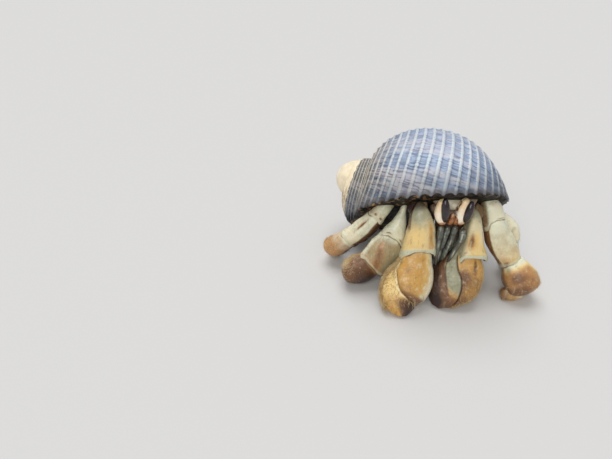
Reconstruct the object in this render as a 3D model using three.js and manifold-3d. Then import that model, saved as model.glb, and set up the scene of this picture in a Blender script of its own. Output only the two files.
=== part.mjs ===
// A life-size hermit crab, Coenobita compressus, standing in the shell of a ribbed nerite,
// Nerita scabricosta. Millimetres, +Z up, the crab faces -Y and its own left is +X.
// It stands on the plane z = 0 on small flats under the shell, the claws and the walking legs.
// Every limb is a chain of lofted segments. A segment starts inside the end of the one before
// it, which is hollowed round it, and no two pieces come closer than GAP.
import * as THREE from "three";
import { mergeVertices } from "three/addons/utils/BufferGeometryUtils.js";
import Module from "manifold-3d";

const wasm = await Module();
wasm.setup();

// ---------------------------------------------------------------- driving dimensions
const GAP = 0.3; // clearance between neighbouring pieces
const FLOOR = 0; // everything is trimmed flat here
const BASE_MIDDLE = [-2.13, -2.85]; // middle of the whole model's base, moved to the origin

const SHELL = {
  apex: [-18.6, 8.2, 12.7], // where the coiling axis leaves the tip of the spire
  azimuth: 155.2, // degrees, heading of the axis towards the tip
  elevation: 11.9, // degrees, rise of the axis towards the tip
  lipTurn: 42.1, // degrees, the middle of the lip stands this far above level round the axis
  radius: 21.9, // from the axis to the unit of the whorl's section at the lip
  expansion: 2.76, // growth of the whorl in one turn
  mouth: [ // the planes that cut the mouth: how each one faces, and how far along that it lies
    { facing: [-0.025, -0.733, -0.68], reach: -4.1 },
    { facing: [0.092, -0.73, -0.677], reach: -4.08 },
  ],
  wall: 1.15,
  cords: 28, // spiral ridges from the seam to the base
  cordHeight: 0.26,
  wornTip: [4.2, 5.2], // radii of the spire, worn smooth and round: across the axis and along it
  tipDepth: 5.5, // from the axis's tip to the middle of the worn spire
  tipLift: 0.6,
  stretch: 140, // degrees of growth built as one closed solid
  ribbed: [-80, 60, 200], // where the stretches with cords begin, behind the lip
  plain: [330, 470, 610], // and the smooth ones of the early whorls
};

// The whorl's section, in units of the whorl's radius: r from the axis, z towards the tip.
const SECTION = { r: 0.257, z: -1.027, out: 0.623, up: 0.724, down: 0.631, seam: 100 };

// The hollow's share of that section, in degrees round it, and the columella it runs round.
const HOLLOW = { from: -78, to: 72, points: 7, columella: 0.34 };

// What a lofted body has unless it says otherwise, and what the smallest ones have instead.
const BODY = { side: [1, 0, 0], blunt: 2.3, cap: [0.2, 0.14], sides: 8, rows: 3 };
const SMALL = { sides: 6, rows: 2 };
const CAP_ROWS = [0.14, 1]; // where the rings of a rounded end lie, as shares of its length

// ---------------------------------------------------------------- small helpers
const rad = THREE.MathUtils.degToRad;
const vec = (p) => new THREE.Vector3(...p);

// A three.js geometry as a solid that can be cut and joined, its faces turned outwards.
function solid(geometry) {
  const bare = new THREE.BufferGeometry();
  bare.setAttribute("position", geometry.getAttribute("position"));
  if (geometry.index) bare.setIndex(geometry.index);
  const merged = mergeVertices(bare, 1e-4);
  const vertProperties = new Float32Array(merged.getAttribute("position").array);
  const triVerts = new Uint32Array(merged.index.array);
  const made = new wasm.Manifold(new wasm.Mesh({ numProp: 3, vertProperties, triVerts }));
  if (made.volume() > 0) return made;
  return new wasm.Manifold(
    new wasm.Mesh({ numProp: 3, vertProperties, triVerts: triVerts.toReversed() }),
  );
}

// A finished solid as a named mesh, without the crumbs that a cut can leave beside it.
function mesh(name, made, material) {
  const whole = made.decompose().reduce((a, b) => (b.volume() > a.volume() ? b : a));
  const { numProp, vertProperties, triVerts } = whole.getMesh();
  const count = vertProperties.length / numProp;
  const positions = new Float32Array(count * 3);
  for (let i = 0; i < count; i++) {
    positions.set(vertProperties.subarray(i * numProp, i * numProp + 3), i * 3);
  }
  const geometry = new THREE.BufferGeometry();
  geometry.setAttribute("position", new THREE.BufferAttribute(positions, 3));
  geometry.setIndex(new THREE.BufferAttribute(new Uint32Array(triVerts), 1));
  const piece = new THREE.Mesh(geometry, material);
  piece.name = name;
  return piece;
}

// A closed skin over rings of equal length, with a fan of faces over the first and the last.
function skin(rings) {
  const sides = rings[0].length;
  const points = rings.flat();
  const first = points.length;
  points.push(middle(rings[0]), middle(rings[rings.length - 1]));
  const faces = [];
  const end = (rings.length - 1) * sides;
  for (let j = 0; j < sides; j++) {
    const k = (j + 1) % sides;
    for (let i = 0; i < end; i += sides) {
      faces.push(i + j, i + k, i + sides + k, i + j, i + sides + k, i + sides + j);
    }
    faces.push(first, k, j, first + 1, end + j, end + k);
  }
  const geometry = new THREE.BufferGeometry().setFromPoints(points);
  geometry.setIndex(faces);
  return geometry;
}

function middle(ring) {
  const sum = new THREE.Vector3();
  ring.forEach((p) => sum.add(p));
  return sum.divideScalar(ring.length);
}

// A smooth value at t in 0..1 from a short row of evenly spaced values.
function along(values, t) {
  const x = t * (values.length - 1);
  const i = Math.min(Math.floor(x), values.length - 2);
  const at = (k) => values[THREE.MathUtils.clamp(k, 0, values.length - 1)];
  const [a, b, c, d] = [at(i - 1), at(i), at(i + 1), at(i + 2)];
  const f = x - i;
  const slopes = [(c - a) / 2, (d - b) / 2];
  const cubic = 2 * (b - c) + slopes[0] + slopes[1];
  const square = 3 * (c - b) - 2 * slopes[0] - slopes[1];
  return b + f * (slopes[0] + f * (square + f * cubic));
}

// A rounded body along a smooth path. wide and deep are rows of diameters, wide measured
// along side. blunt is how square the section is, cap the share of the length rounded at
// each end, rows the rings between the ends, and grow swells the whole body by that much.
function body(shape, grow = 0) {
  const { path, wide, deep, side, blunt, cap, sides, rows } = { ...BODY, ...shape };
  const curve = new THREE.CatmullRomCurve3(path.map(vec));
  const inner = Array.from({ length: rows - 1 }, (_, i) => {
    return THREE.MathUtils.lerp(cap[0], 1 - cap[1], (i + 1) / rows);
  });
  const starts = CAP_ROWS.map((share) => share * cap[0]);
  const ends = CAP_ROWS.map((share) => 1 - share * cap[1]).toReversed();
  const rings = [...starts, ...inner, ...ends].map((t) => {
    const start = Math.min(1, t / cap[0]);
    const finish = Math.min(1, (1 - t) / cap[1]);
    const round = Math.sqrt(1 - (1 - start) ** 2) * Math.sqrt(1 - (1 - finish) ** 2);
    const forward = curve.getTangentAt(t);
    const across = vec(side).projectOnPlane(forward).normalize();
    const over = new THREE.Vector3().crossVectors(forward, across);
    const centre = curve.getPointAt(t).addScaledVector(forward, grow * (2 * t - 1));
    const a = round * (along(wide, t) / 2 + grow);
    const b = round * (along(deep, t) / 2 + grow);
    return Array.from({ length: sides }, (_, j) => {
      const turn = (j / sides) * 2 * Math.PI;
      const c = Math.sign(Math.cos(turn)) * Math.abs(Math.cos(turn)) ** (2 / blunt);
      const d = Math.sign(Math.sin(turn)) * Math.abs(Math.sin(turn)) ** (2 / blunt);
      return centre.clone().addScaledVector(across, a * c).addScaledVector(over, b * d);
    });
  });
  return solid(skin(rings));
}

// A big block on the far side of a plane, for trimming.
function beyond(normal, offset) {
  const size = 200;
  const block = new THREE.BoxGeometry(size, size, size);
  block.translate(0, 0, size / 2);
  block.applyQuaternion(new THREE.Quaternion().setFromUnitVectors(new THREE.Vector3(0, 0, 1), normal));
  block.translate(normal.x * offset, normal.y * offset, normal.z * offset);
  return solid(block);
}

const ground = beyond(new THREE.Vector3(0, 0, -1), -FLOOR);

// ---------------------------------------------------------------- materials
function finish(color, roughness) {
  return new THREE.MeshStandardMaterial({ color, roughness, metalness: 0 });
}

const slate = finish(0x6f7683, 0.5);
const cream = finish(0xd8cdb0, 0.5);
const amber = finish(0xc08a4c, 0.42);
const olive = finish(0x6b6a55, 0.5);
const flesh = finish(0xb58a72, 0.6);
const pearl = finish(0xe6d3ba, 0.4);
const jet = finish(0x14110f, 0.15);

// ---------------------------------------------------------------- the shell
// The coiling frame: the axis towards the tip, the lip's direction, and a quarter turn back.
function coilingFrame() {
  const heading = rad(SHELL.azimuth);
  const rise = rad(SHELL.elevation);
  const axis = new THREE.Vector3(
    Math.cos(rise) * Math.cos(heading),
    Math.cos(rise) * Math.sin(heading),
    Math.sin(rise),
  );
  const level = new THREE.Vector3(0, -1, 0).projectOnPlane(axis).normalize();
  const above = new THREE.Vector3().crossVectors(level, axis).normalize();
  if (above.z < 0) above.negate();
  const turn = rad(SHELL.lipTurn);
  const lip = level.clone().multiplyScalar(Math.cos(turn)).addScaledVector(above, Math.sin(turn));
  const back = level.clone().multiplyScalar(-Math.sin(turn)).addScaledVector(above, Math.cos(turn));
  return { apex: vec(SHELL.apex), axis, lip, back };
}

const coil = coilingFrame();

// The point of the coil at a section point (r, z) and a growth angle behind the lip.
function coilPoint(r, z, angle) {
  const scale = SHELL.radius * SHELL.expansion ** (-angle / 360);
  const a = rad(angle);
  return coil.apex
    .clone()
    .addScaledVector(coil.lip, scale * r * Math.cos(a))
    .addScaledVector(coil.back, scale * r * Math.sin(a))
    .addScaledVector(coil.axis, scale * z);
}

// Half of the whorl's section, from the base round the outside to the seam, then the axis.
function outerSection(points, relief) {
  const nearAxis = 0.03;
  const section = [[nearAxis, SECTION.z - SECTION.down]];
  for (let i = 0; i <= points; i++) {
    const share = i / points;
    const phi = rad(-90 + share * (SECTION.seam + 90));
    const ridge = relief * Math.cos(2 * Math.PI * SHELL.cords * share);
    const reach = phi > 0 ? SECTION.up : SECTION.down;
    section.push([
      SECTION.r + (SECTION.out + ridge) * Math.cos(phi),
      SECTION.z + (reach + ridge) * Math.sin(phi),
    ]);
  }
  section.push([nearAxis, SECTION.z + SECTION.up]);
  return section;
}

// The hollow's section: the whorl's own, inside the wall and clear of the columella.
function innerSection() {
  const inset = SHELL.wall / SHELL.radius;
  const section = [];
  for (let i = 0; i <= HOLLOW.points; i++) {
    const phi = rad(THREE.MathUtils.lerp(HOLLOW.from, HOLLOW.to, i / HOLLOW.points));
    const reach = phi > 0 ? SECTION.up : SECTION.down;
    section.push([
      SECTION.r + (SECTION.out - inset) * Math.cos(phi),
      SECTION.z + (reach - inset) * Math.sin(phi),
    ]);
  }
  section[0][0] = HOLLOW.columella;
  section[HOLLOW.points][0] = HOLLOW.columella;
  return section;
}

// One stretch of the coil with a given section, from a growth angle backwards. The rings are
// set out a little, so that the flats between them lie on the true curve on average.
function stretch(section, from) {
  const steps = 6;
  const swell = 1 + rad(SHELL.stretch / steps) ** 2 / 16;
  const rings = [];
  for (let i = 0; i <= steps; i++) {
    const angle = from + (SHELL.stretch * i) / steps;
    rings.push(section.map(([r, z]) => coilPoint(r * swell, z, angle)));
  }
  return solid(skin(rings));
}

function shell() {
  const relief = SHELL.cordHeight / SHELL.radius / 2;
  const fine = outerSection(2 * SHELL.cords, relief);
  const coarse = outerSection(8, 0);
  const ribbed = SHELL.ribbed.map((from) => stretch(fine, from));
  const plain = SHELL.plain.map((from) => stretch(coarse, from));
  const [tipWide, tipLong] = SHELL.wornTip;
  const tip = new THREE.SphereGeometry(1, 10, 7).scale(tipWide, tipLong, tipWide);
  tip.applyQuaternion(new THREE.Quaternion().setFromUnitVectors(new THREE.Vector3(0, 1, 0), coil.axis));
  const tipPlace = coil.apex.clone().addScaledVector(coil.axis, -SHELL.tipDepth);
  tip.translate(tipPlace.x, tipPlace.y, tipPlace.z + SHELL.tipLift);
  const whorls = wasm.Manifold.union([...ribbed, ...plain, solid(tip)]);
  const mouth = SHELL.mouth.map(({ facing, reach }) => beyond(vec(facing).normalize(), reach));
  const hollow = SHELL.ribbed.slice(0, 2).map((from) => stretch(innerSection(), from));
  const made = whorls.subtract(wasm.Manifold.union([...mouth, ...hollow, ground]));
  return mesh("shell", made, slate);
}

// ---------------------------------------------------------------- the limbs
// Each limb runs from the body to its tip. A segment's own start sits in the end of the one
// before it, which is cut away round it.
const CHELIPED_RIGHT = [
  {
    part: "basal",
    path: [[-2.4, -8.4, 12.2], [-4.6, -9.4, 13.8]],
    wide: [2.4, 2.8],
    deep: [2.4, 2.8],
    ...SMALL,
  },
  {
    part: "merus",
    path: [[-4.2, -9.2, 13.4], [-5.4, -10.0, 15.6], [-6.0, -11.2, 17.6]],
    wide: [2.4, 3.2, 3.4],
    deep: [2.2, 3.2, 3.4],
    ...SMALL,
  },
  {
    part: "carpus",
    path: [[-5.9, -11.6, 18.4], [-5.2, -12.9, 13.8], [-5.1, -13.2, 9.0]],
    wide: [2.6, 4.6, 6.4],
    deep: [2.8, 4.6, 4.8],
    cap: [0.25, 0.12],
    sides: 10,
  },
  {
    part: "palm",
    path: [[-5.2, -12.8, 9.8], [-6.3, -15.2, 5.8], [-8.2, -17.8, 2.6], [-8.1, -20.8, 0.1]],
    wide: [4.2, 5.2, 7.2, 6.8, 3.4],
    deep: [3.2, 4.8, 4.8, 3.8, 1.6],
    sides: 10,
    rows: 4,
  },
  {
    part: "dactyl",
    path: [[-5.4, -15.0, 8.0], [-6.1, -17.0, 4.9], [-7.2, -19.4, 1.7]],
    wide: [4.4, 6.4, 5.2, 2.2],
    deep: [2.2, 3.2, 3.0, 1.6],
    sides: 10,
  },
];

const CHELIPED_LEFT = [
  {
    part: "basal",
    path: [[2.4, -8.4, 12.2], [3.8, -9.2, 13.2]],
    wide: [2.4, 2.8],
    deep: [2.4, 2.8],
    ...SMALL,
  },
  {
    part: "merus",
    path: [[3.4, -9.0, 13.0], [4.0, -9.8, 14.6], [4.2, -10.8, 16.4]],
    wide: [2.4, 3.2, 3.4],
    deep: [2.2, 3.2, 3.4],
    ...SMALL,
  },
  {
    part: "carpus",
    path: [[3.7, -11.4, 17.0], [3.9, -12.8, 12.2], [4.1, -13.5, 7.6]],
    wide: [2.2, 3.5, 6.0],
    deep: [2.8, 4.6, 5.2],
    cap: [0.25, 0.12],
    sides: 10,
  },
  {
    part: "palm",
    path: [[4.6, -13.2, 8.2], [2.6, -14.8, 5.2], [0.3, -16.3, 2.4], [-1.6, -17.9, 0.2]],
    wide: [4.6, 7.9, 8.8, 7.0, 3.0],
    deep: [3.8, 5.4, 5.2, 4.0, 1.8],
    side: [0.93, -0.37, 0],
    sides: 10,
    rows: 4,
  },
  {
    part: "dactyl",
    path: [[1.2, -14.4, 7.4], [-0.7, -15.9, 4.4], [-2.3, -17.6, 0.8]],
    wide: [3.4, 5.6, 4.4, 1.8],
    deep: [2.4, 3.2, 3.0, 1.6],
    side: [0.93, -0.37, 0],
    sides: 10,
  },
];

const LEG2_RIGHT = [
  {
    part: "basal",
    path: [[-4.0, -6.6, 13.4], [-7.0, -7.5, 15.9]],
    wide: [2.2, 2.8],
    deep: [2.2, 2.6],
    ...SMALL,
  },
  {
    part: "merus",
    path: [[-7.4, -8.2, 16.4], [-8.3, -9.7, 13.2], [-9.5, -10.7, 9.6]],
    wide: [1.3, 1.3, 2.4, 4.0, 5.0],
    deep: [1.6, 1.8, 2.6, 3.2, 3.2],
  },
  {
    part: "carpus",
    path: [[-9.5, -10.6, 10.4], [-11.1, -11.2, 7.0], [-13.2, -11.6, 4.2]],
    wide: [3.4, 6.3, 6.0],
    deep: [2.6, 4.0, 3.8],
  },
  {
    part: "propodus",
    path: [[-12.8, -11.2, 4.8], [-15.4, -11.2, 3.2], [-18.2, -10.8, 2.5]],
    wide: [3.8, 6.2, 5.4],
    deep: [3.0, 4.8, 4.2],
    sides: 10,
  },
  {
    part: "dactyl",
    path: [[-17.4, -10.4, 2.4], [-15.4, -9.0, 1.3], [-12.2, -8.2, 0.0]],
    wide: [1.9, 2.1, 1.7, 1.2, 0.7],
    deep: [1.9, 2.1, 1.6, 1.1, 0.7],
    ...SMALL,
  },
];

const LEG3_RIGHT = [
  {
    part: "basal",
    path: [[-4.6, -4.8, 14.7], [-8.0, -6.4, 16.8]],
    wide: [2.0, 2.6],
    deep: [2.0, 2.4],
    ...SMALL,
  },
  {
    part: "merus",
    path: [[-8.6, -7.1, 17.0], [-11.0, -8.1, 15.0], [-12.5, -8.1, 12.6]],
    wide: [1.8, 2.4, 2.9],
    deep: [2.0, 2.6, 3.0],
  },
  {
    part: "carpus",
    path: [[-11.9, -7.9, 13.3], [-14.3, -7.0, 9.4], [-16.9, -5.8, 6.1]],
    wide: [2.6, 4.2, 4.2],
    deep: [2.4, 3.4, 3.4],
  },
  {
    part: "propodus",
    path: [[-16.5, -6.0, 6.6], [-18.8, -4.8, 4.1], [-20.6, -3.8, 2.0]],
    wide: [2.8, 4.4, 4.2],
    deep: [2.8, 4.0, 3.8],
    sides: 10,
  },
  {
    part: "dactyl",
    path: [[-20.1, -3.6, 2.7], [-18.8, -2.0, 1.4], [-16.0, -0.7, 0.0]],
    wide: [1.9, 2.1, 1.7, 1.2, 0.7],
    deep: [1.9, 2.1, 1.6, 1.1, 0.7],
    ...SMALL,
  },
];

const LEG2_LEFT = [
  {
    part: "basal",
    path: [[3.8, -7.0, 13.8], [6.2, -7.6, 16.0]],
    wide: [2.2, 2.8],
    deep: [2.2, 2.6],
    ...SMALL,
  },
  {
    part: "merus",
    path: [[6.5, -8.0, 17.0], [7.4, -9.8, 16.0], [8.1, -11.0, 13.6]],
    wide: [2.6, 3.4, 3.6],
    deep: [2.4, 3.2, 3.2],
  },
  {
    part: "carpus",
    path: [[7.7, -10.8, 14.4], [9.7, -11.9, 10.2], [12.3, -12.8, 5.9]],
    wide: [3.0, 4.6, 3.8],
    deep: [2.6, 3.8, 3.8],
  },
  {
    part: "propodus",
    path: [[12.2, -12.8, 6.5], [13.8, -14.5, 3.9], [15.1, -16.3, 1.5]],
    wide: [3.4, 6.2, 5.8],
    deep: [3.2, 5.6, 5.2],
    sides: 10,
  },
  {
    part: "dactyl",
    path: [[14.6, -15.6, 1.9], [12.6, -15.6, 1.2], [10.6, -15.2, 0.8]],
    wide: [2.2, 2.6, 1.8],
    deep: [2.2, 2.6, 2.0],
    ...SMALL,
  },
];

const LEG3_LEFT = [
  {
    part: "basal",
    path: [[4.6, -4.8, 14.9], [6.9, -5.2, 16.4]],
    wide: [2.0, 2.6],
    deep: [2.0, 2.4],
    ...SMALL,
  },
  {
    part: "merus",
    path: [[7.0, -5.8, 16.5], [7.9, -7.1, 14.8], [9.6, -7.8, 12.5]],
    wide: [2.2, 2.6, 2.8],
    deep: [2.2, 2.6, 2.8],
    rows: 2,
  },
  {
    part: "carpus",
    path: [[9.3, -7.7, 13.0], [12.4, -7.6, 10.2], [13.6, -7.8, 7.0]],
    wide: [2.4, 3.4, 3.4],
    deep: [2.2, 3.0, 3.0],
  },
  {
    part: "propodus",
    path: [[13.3, -7.7, 7.5], [13.7, -8.1, 4.8], [14.2, -8.6, 1.7]],
    wide: [2.6, 3.8, 3.4],
    deep: [2.6, 3.6, 3.2],
    sides: 8,
  },
  {
    part: "dactyl",
    path: [[14.0, -8.2, 2.8], [14.4, -6.2, 1.4], [14.7, -3.8, 0.0]],
    wide: [1.8, 2.0, 1.6, 1.1, 0.7],
    deep: [1.8, 2.0, 1.5, 1.0, 0.7],
    ...SMALL,
  },
];

// The two small pairs that hold the shell from inside, and lie along the abdomen.
const HOLDING_LEGS = {
  leg4_right: [[-4.6, -4.0, 17.4], [-6.8, -4.6, 18.8], [-7.6, -6.4, 19.4]],
  leg4_left: [[5.0, -3.8, 17.5], [6.6, -3.9, 18.6], [7.2, -5.5, 19.0]],
  leg5_right: [[-4.4, -2.4, 18.2], [-6.0, -1.4, 19.4], [-7.0, -2.8, 20.2]],
  leg5_left: [[4.9, -1.8, 18.4], [6.2, -0.9, 19.4], [7.0, -2.2, 20.2]],
};
const HOLDING_SIZE = { wide: [1.4, 1.6, 0.9], deep: [1.4, 1.6, 0.9], ...SMALL };

// A limb's pieces from the tip inwards, each with its name, its shape and its material.
function limb(name, segments, material) {
  return segments.map((shape) => ({ name: `${name}_${shape.part}`, shape, material })).reverse();
}

// ---------------------------------------------------------------- the head and the trunk
const SHIELD = {
  path: [[0.1, -12.8, 17.6], [0.2, -9.0, 19.3], [0.3, -4.4, 20.6]],
  wide: [6.4, 8.2, 8.6, 7.2],
  deep: [1.6, 2.2, 2.2, 1.8],
};

const THORAX = {
  path: [[0.0, -12.4, 14.9], [0.1, -9.0, 16.3], [0.3, -4.8, 17.8]],
  wide: [5.6, 7.2, 8.0, 6.8],
  deep: [4.0, 5.0, 5.4, 5.0],
  ...SMALL,
};

const ABDOMEN = {
  path: [[0.4, -3.6, 18.6], [1.0, 1.8, 19.3], [1.3, 6.6, 16.4], [-0.6, 9.4, 11.0], [-3.6, 8.6, 7.0]],
  wide: [6.0, 7.8, 7.4, 5.8, 3.2],
  deep: [4.8, 6.4, 6.2, 5.0, 2.8],
  rows: 5,
};

// The head's paired pieces, given for the crab's right side and for its left.
const HEAD = {
  right: {
    eyestalk: [[-1.7, -13.3, 15.0], [-2.5, -13.4, 17.2], [-2.4, -13.2, 20.0]],
    cornea: [[-1.7, -14.0, 15.9], [-2.1, -14.3, 18.3], [-2.4, -14.0, 20.6]],
    antennule_peduncle: [[-0.7, -13.3, 14.6], [-1.1, -13.4, 12.0], [-1.4, -13.3, 9.6]],
    antennule_flagellum: [[-1.4, -13.3, 9.8], [-1.5, -13.3, 7.6], [-1.55, -13.2, 5.4]],
    antenna_peduncle: [[-1.9, -13.3, 14.8], [-2.1, -13.9, 13.4], [-2.2, -14.2, 12.0]],
    antenna_flagellum: [[-2.2, -14.2, 12.2], [-2.2, -14.4, 9.6], [-2.0, -14.5, 6.8]],
    maxilliped: [[-1.0, -10.8, 12.8], [-1.3, -11.6, 10.0], [-1.2, -12.2, 6.4]],
  },
  left: {
    eyestalk: [[1.2, -13.4, 15.0], [0.9, -13.5, 17.6], [1.4, -13.3, 20.2]],
    cornea: [[1.5, -14.0, 15.9], [1.7, -14.3, 18.0], [2.1, -14.0, 20.1]],
    antennule_peduncle: [[0.6, -13.3, 14.6], [0.3, -13.4, 12.0], [-0.2, -13.3, 9.6]],
    antennule_flagellum: [[-0.2, -13.3, 9.8], [-0.45, -13.2, 8.0], [-0.75, -13.1, 6.1]],
    antenna_peduncle: [[1.7, -13.6, 14.4], [1.7, -14.2, 13.2], [1.4, -14.4, 12.0]],
    antenna_flagellum: [[1.4, -14.4, 12.2], [0.7, -14.5, 9.9], [-0.1, -14.5, 7.4]],
    maxilliped: [[1.5, -10.8, 12.8], [1.3, -11.4, 10.0], [0.9, -11.8, 7.6]],
  },
};

// The thickness of each of those pieces along its length.
const HEAD_SIZES = {
  eyestalk: { wide: [1.5, 2.1, 1.3], deep: [1.5, 2.0, 1.4] },
  cornea: { wide: [1.1, 1.4, 1.1], deep: [1.2, 1.6, 1.2], cap: [0.3, 0.3], rows: 2 },
  antennule_peduncle: { wide: [1.2, 1.1, 1.0], deep: [1.2, 1.1, 1.0], ...SMALL },
  antennule_flagellum: { wide: [0.8, 0.9, 0.6], deep: [0.8, 0.9, 0.6], ...SMALL },
  antenna_peduncle: { wide: [1.2, 1.3, 1.0], deep: [1.2, 1.2, 1.0], ...SMALL },
  antenna_flagellum: { wide: [0.7, 0.65, 0.55], deep: [0.7, 0.65, 0.55], ...SMALL },
  maxilliped: { wide: [2.2, 2.8, 2.2], deep: [1.6, 1.7, 1.3], ...SMALL },
};

// The material of each of those pieces, in the order that they give way to each other.
const HEAD_MATERIALS = {
  cornea: jet,
  eyestalk: pearl,
  antennule_flagellum: olive,
  antennule_peduncle: olive,
  antenna_flagellum: olive,
  antenna_peduncle: olive,
  maxilliped: olive,
};

function head() {
  return Object.entries(HEAD_MATERIALS).flatMap(([part, material]) =>
    Object.entries(HEAD).map(([side, paths]) => {
      const shape = { path: paths[part], ...HEAD_SIZES[part] };
      return { name: `${part}_${side}`, shape, material };
    }),
  );
}

function holdingLegs() {
  return Object.entries(HOLDING_LEGS).map(([name, path]) => {
    return { name, shape: { path, ...HOLDING_SIZE }, material: flesh };
  });
}

// The meshes of a row of pieces, each one cut clear of the floor and of those before it.
function cleared(pieces) {
  const swollen = pieces.map(({ shape }) => body(shape, GAP));
  return pieces.map(({ name, shape, material }, i) => {
    const made = swollen.slice(0, i).reduce((left, other) => left.subtract(other), body(shape));
    return mesh(name, made.subtract(ground), material);
  });
}

function animal() {
  const group = new THREE.Group();
  const pieces = [
    ...limb("cheliped_right", CHELIPED_RIGHT, amber),
    ...limb("cheliped_left", CHELIPED_LEFT, amber),
    ...limb("leg2_right", LEG2_RIGHT, cream),
    ...limb("leg2_left", LEG2_LEFT, cream),
    ...limb("leg3_right", LEG3_RIGHT, cream),
    ...limb("leg3_left", LEG3_LEFT, cream),
    ...head(),
    ...holdingLegs(),
    { name: "shield", shape: SHIELD, material: olive },
    { name: "abdomen", shape: ABDOMEN, material: flesh },
    { name: "thorax", shape: THORAX, material: flesh },
  ];
  group.add(...cleared(pieces));
  return group;
}

const crab = new THREE.Group();
crab.position.set(-BASE_MIDDLE[0], -BASE_MIDDLE[1], 0);
crab.add(shell(), animal());
export default crab;
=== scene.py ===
"""The looks of a life-size hermit crab, Coenobita compressus, in a ribbed nerite shell.

Every fine piece is made here in millimetres, in the same frame as its solid before that is
moved to the origin, and stands in for that solid. The crab faces -Y and its own left is +X.
"""

import bpy
import numpy as np
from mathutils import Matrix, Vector


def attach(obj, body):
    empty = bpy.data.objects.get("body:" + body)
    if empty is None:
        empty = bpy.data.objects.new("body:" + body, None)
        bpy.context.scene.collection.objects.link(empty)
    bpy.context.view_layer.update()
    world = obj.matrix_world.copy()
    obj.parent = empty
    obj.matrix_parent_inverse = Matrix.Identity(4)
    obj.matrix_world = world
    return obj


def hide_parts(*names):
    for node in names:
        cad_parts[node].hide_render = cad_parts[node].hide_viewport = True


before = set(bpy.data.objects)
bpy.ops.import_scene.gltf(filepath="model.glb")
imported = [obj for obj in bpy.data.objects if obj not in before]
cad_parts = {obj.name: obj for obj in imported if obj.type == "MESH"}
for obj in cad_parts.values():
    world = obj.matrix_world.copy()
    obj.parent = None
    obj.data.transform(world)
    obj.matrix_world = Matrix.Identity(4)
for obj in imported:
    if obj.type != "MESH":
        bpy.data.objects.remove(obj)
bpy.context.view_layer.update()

MM = 0.001
SHIFT = np.array([2.13, 2.85, 0.0])  # from the modelling frame to the origin, in mm
TAU = 2 * np.pi
UP = np.array([0, 0, 1.0])

# ---------------------------------------------------------------- numbers and small maths


def smooth(low, high, x):
    """0 below low, 1 above high, and a smooth step between them, which may run downwards."""
    t = np.clip((x - low) / (high - low), 0, 1)
    return t * t * (3 - 2 * t)


def hill(x, middle, half):
    """1 at middle, falling smoothly to 0 about half away on each side."""
    return np.exp(-1.6 * ((x - middle) / half) ** 2)


def turn_from(a, middle):
    """The signed angle from middle to a, in degrees, in -180..180."""
    return (np.degrees(a) - middle + 180) % 360 - 180


def stripe(a, angle, wide):
    """A soft stripe along a limb."""
    return hill(turn_from(a, angle), 0, wide)


class Marks:
    """Soft masks on a limb whose points lie at shares t along it and at angles a round it.
    Angles are given in degrees."""

    def __init__(self, t, a):
        self.t, self.a = t, a

    def up(self, low, high):
        """A step along the limb, from 0 at low to 1 at high, which may run downwards."""
        return smooth(low, high, self.t)

    def line(self, angle, wide):
        return stripe(self.a, angle, wide)

    def on(self, first, last, soft=14):
        """1 between two angles, with soft edges."""
        middle, half = (first + last) / 2, (last - first) / 2
        return smooth(half + soft / 2, half - soft / 2, np.abs(turn_from(self.a, middle)))

    def spot(self, at, angle, long, wide):
        """A soft oval, long along the limb and wide round it."""
        off = ((self.t - at) / long) ** 2 + (turn_from(self.a, angle) / wide) ** 2
        return np.exp(-1.4 * off)

    def spots(self, places, long, wide):
        return sum(self.spot(at, angle, long, wide) for at, angle in places)


def ripple(p, size, seed, octaves=5):
    """Smooth noise in about -1..1 at the points p, with features about size mm across."""
    rng = np.random.default_rng(seed)
    total = np.zeros(len(p))
    for _ in range(octaves):
        way = unit(rng.normal(size=3))
        total += np.sin(p @ way * (TAU / size) * rng.uniform(0.6, 1.3) + rng.uniform(0, TAU))
    return total / octaves ** 0.5


def unit(v):
    return v / np.maximum(np.linalg.norm(v, axis=-1, keepdims=True), 1e-9)


# ---------------------------------------------------------------- lofted bodies


def smooth_path(points, count=160):
    """Evenly spaced points and directions on a smooth curve through points."""
    p = np.array(points, float)
    ext = np.vstack([2 * p[0] - p[1], p, 2 * p[-1] - p[-2]])
    dense = []
    for i in range(len(p) - 1):
        a, b, c, d = ext[i:i + 4]
        s0, s1, s2 = (max(np.linalg.norm(v) ** 0.5, 1e-4) for v in (b - a, c - b, d - c))
        m1 = ((b - a) / s0 - (c - a) / (s0 + s1) + (c - b) / s1) * s1
        m2 = ((c - b) / s1 - (d - b) / (s1 + s2) + (d - c) / s2) * s1
        u = np.linspace(0, 1, 60, endpoint=False)[:, None]
        bend, turn = 3 * (c - b) - 2 * m1 - m2, 2 * (b - c) + m1 + m2
        dense.append(b + m1 * u + bend * u ** 2 + turn * u ** 3)
    dense = np.vstack(dense + [p[-1:]])
    run = np.concatenate([[0], np.cumsum(np.linalg.norm(np.diff(dense, axis=0), axis=1))])
    line = sample(dense, run, np.linspace(0, run[-1], count))
    return line, unit(np.gradient(line, axis=0)), run[-1]


def sample(rows, known, at):
    """Rows of three numbers, known at some places, read at others."""
    return np.stack([np.interp(at, known, rows[:, k]) for k in range(3)], axis=1)


def along(values, t):
    """Smooth values at t in 0..1 from a short row of evenly spaced values."""
    v = np.array(values, float)
    x = np.clip(t, 0, 1) * (len(v) - 1)
    i = np.minimum(x.astype(int), len(v) - 2)
    f = x - i
    a, b, c, d = (v[np.clip(i + k, 0, len(v) - 1)] for k in (-1, 0, 1, 2))
    s0, s1 = (c - a) / 2, (d - b) / 2
    return b + f * (s0 + f * (3 * (c - b) - 2 * s0 - s1 + f * (2 * (b - c) + s0 + s1)))


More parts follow.
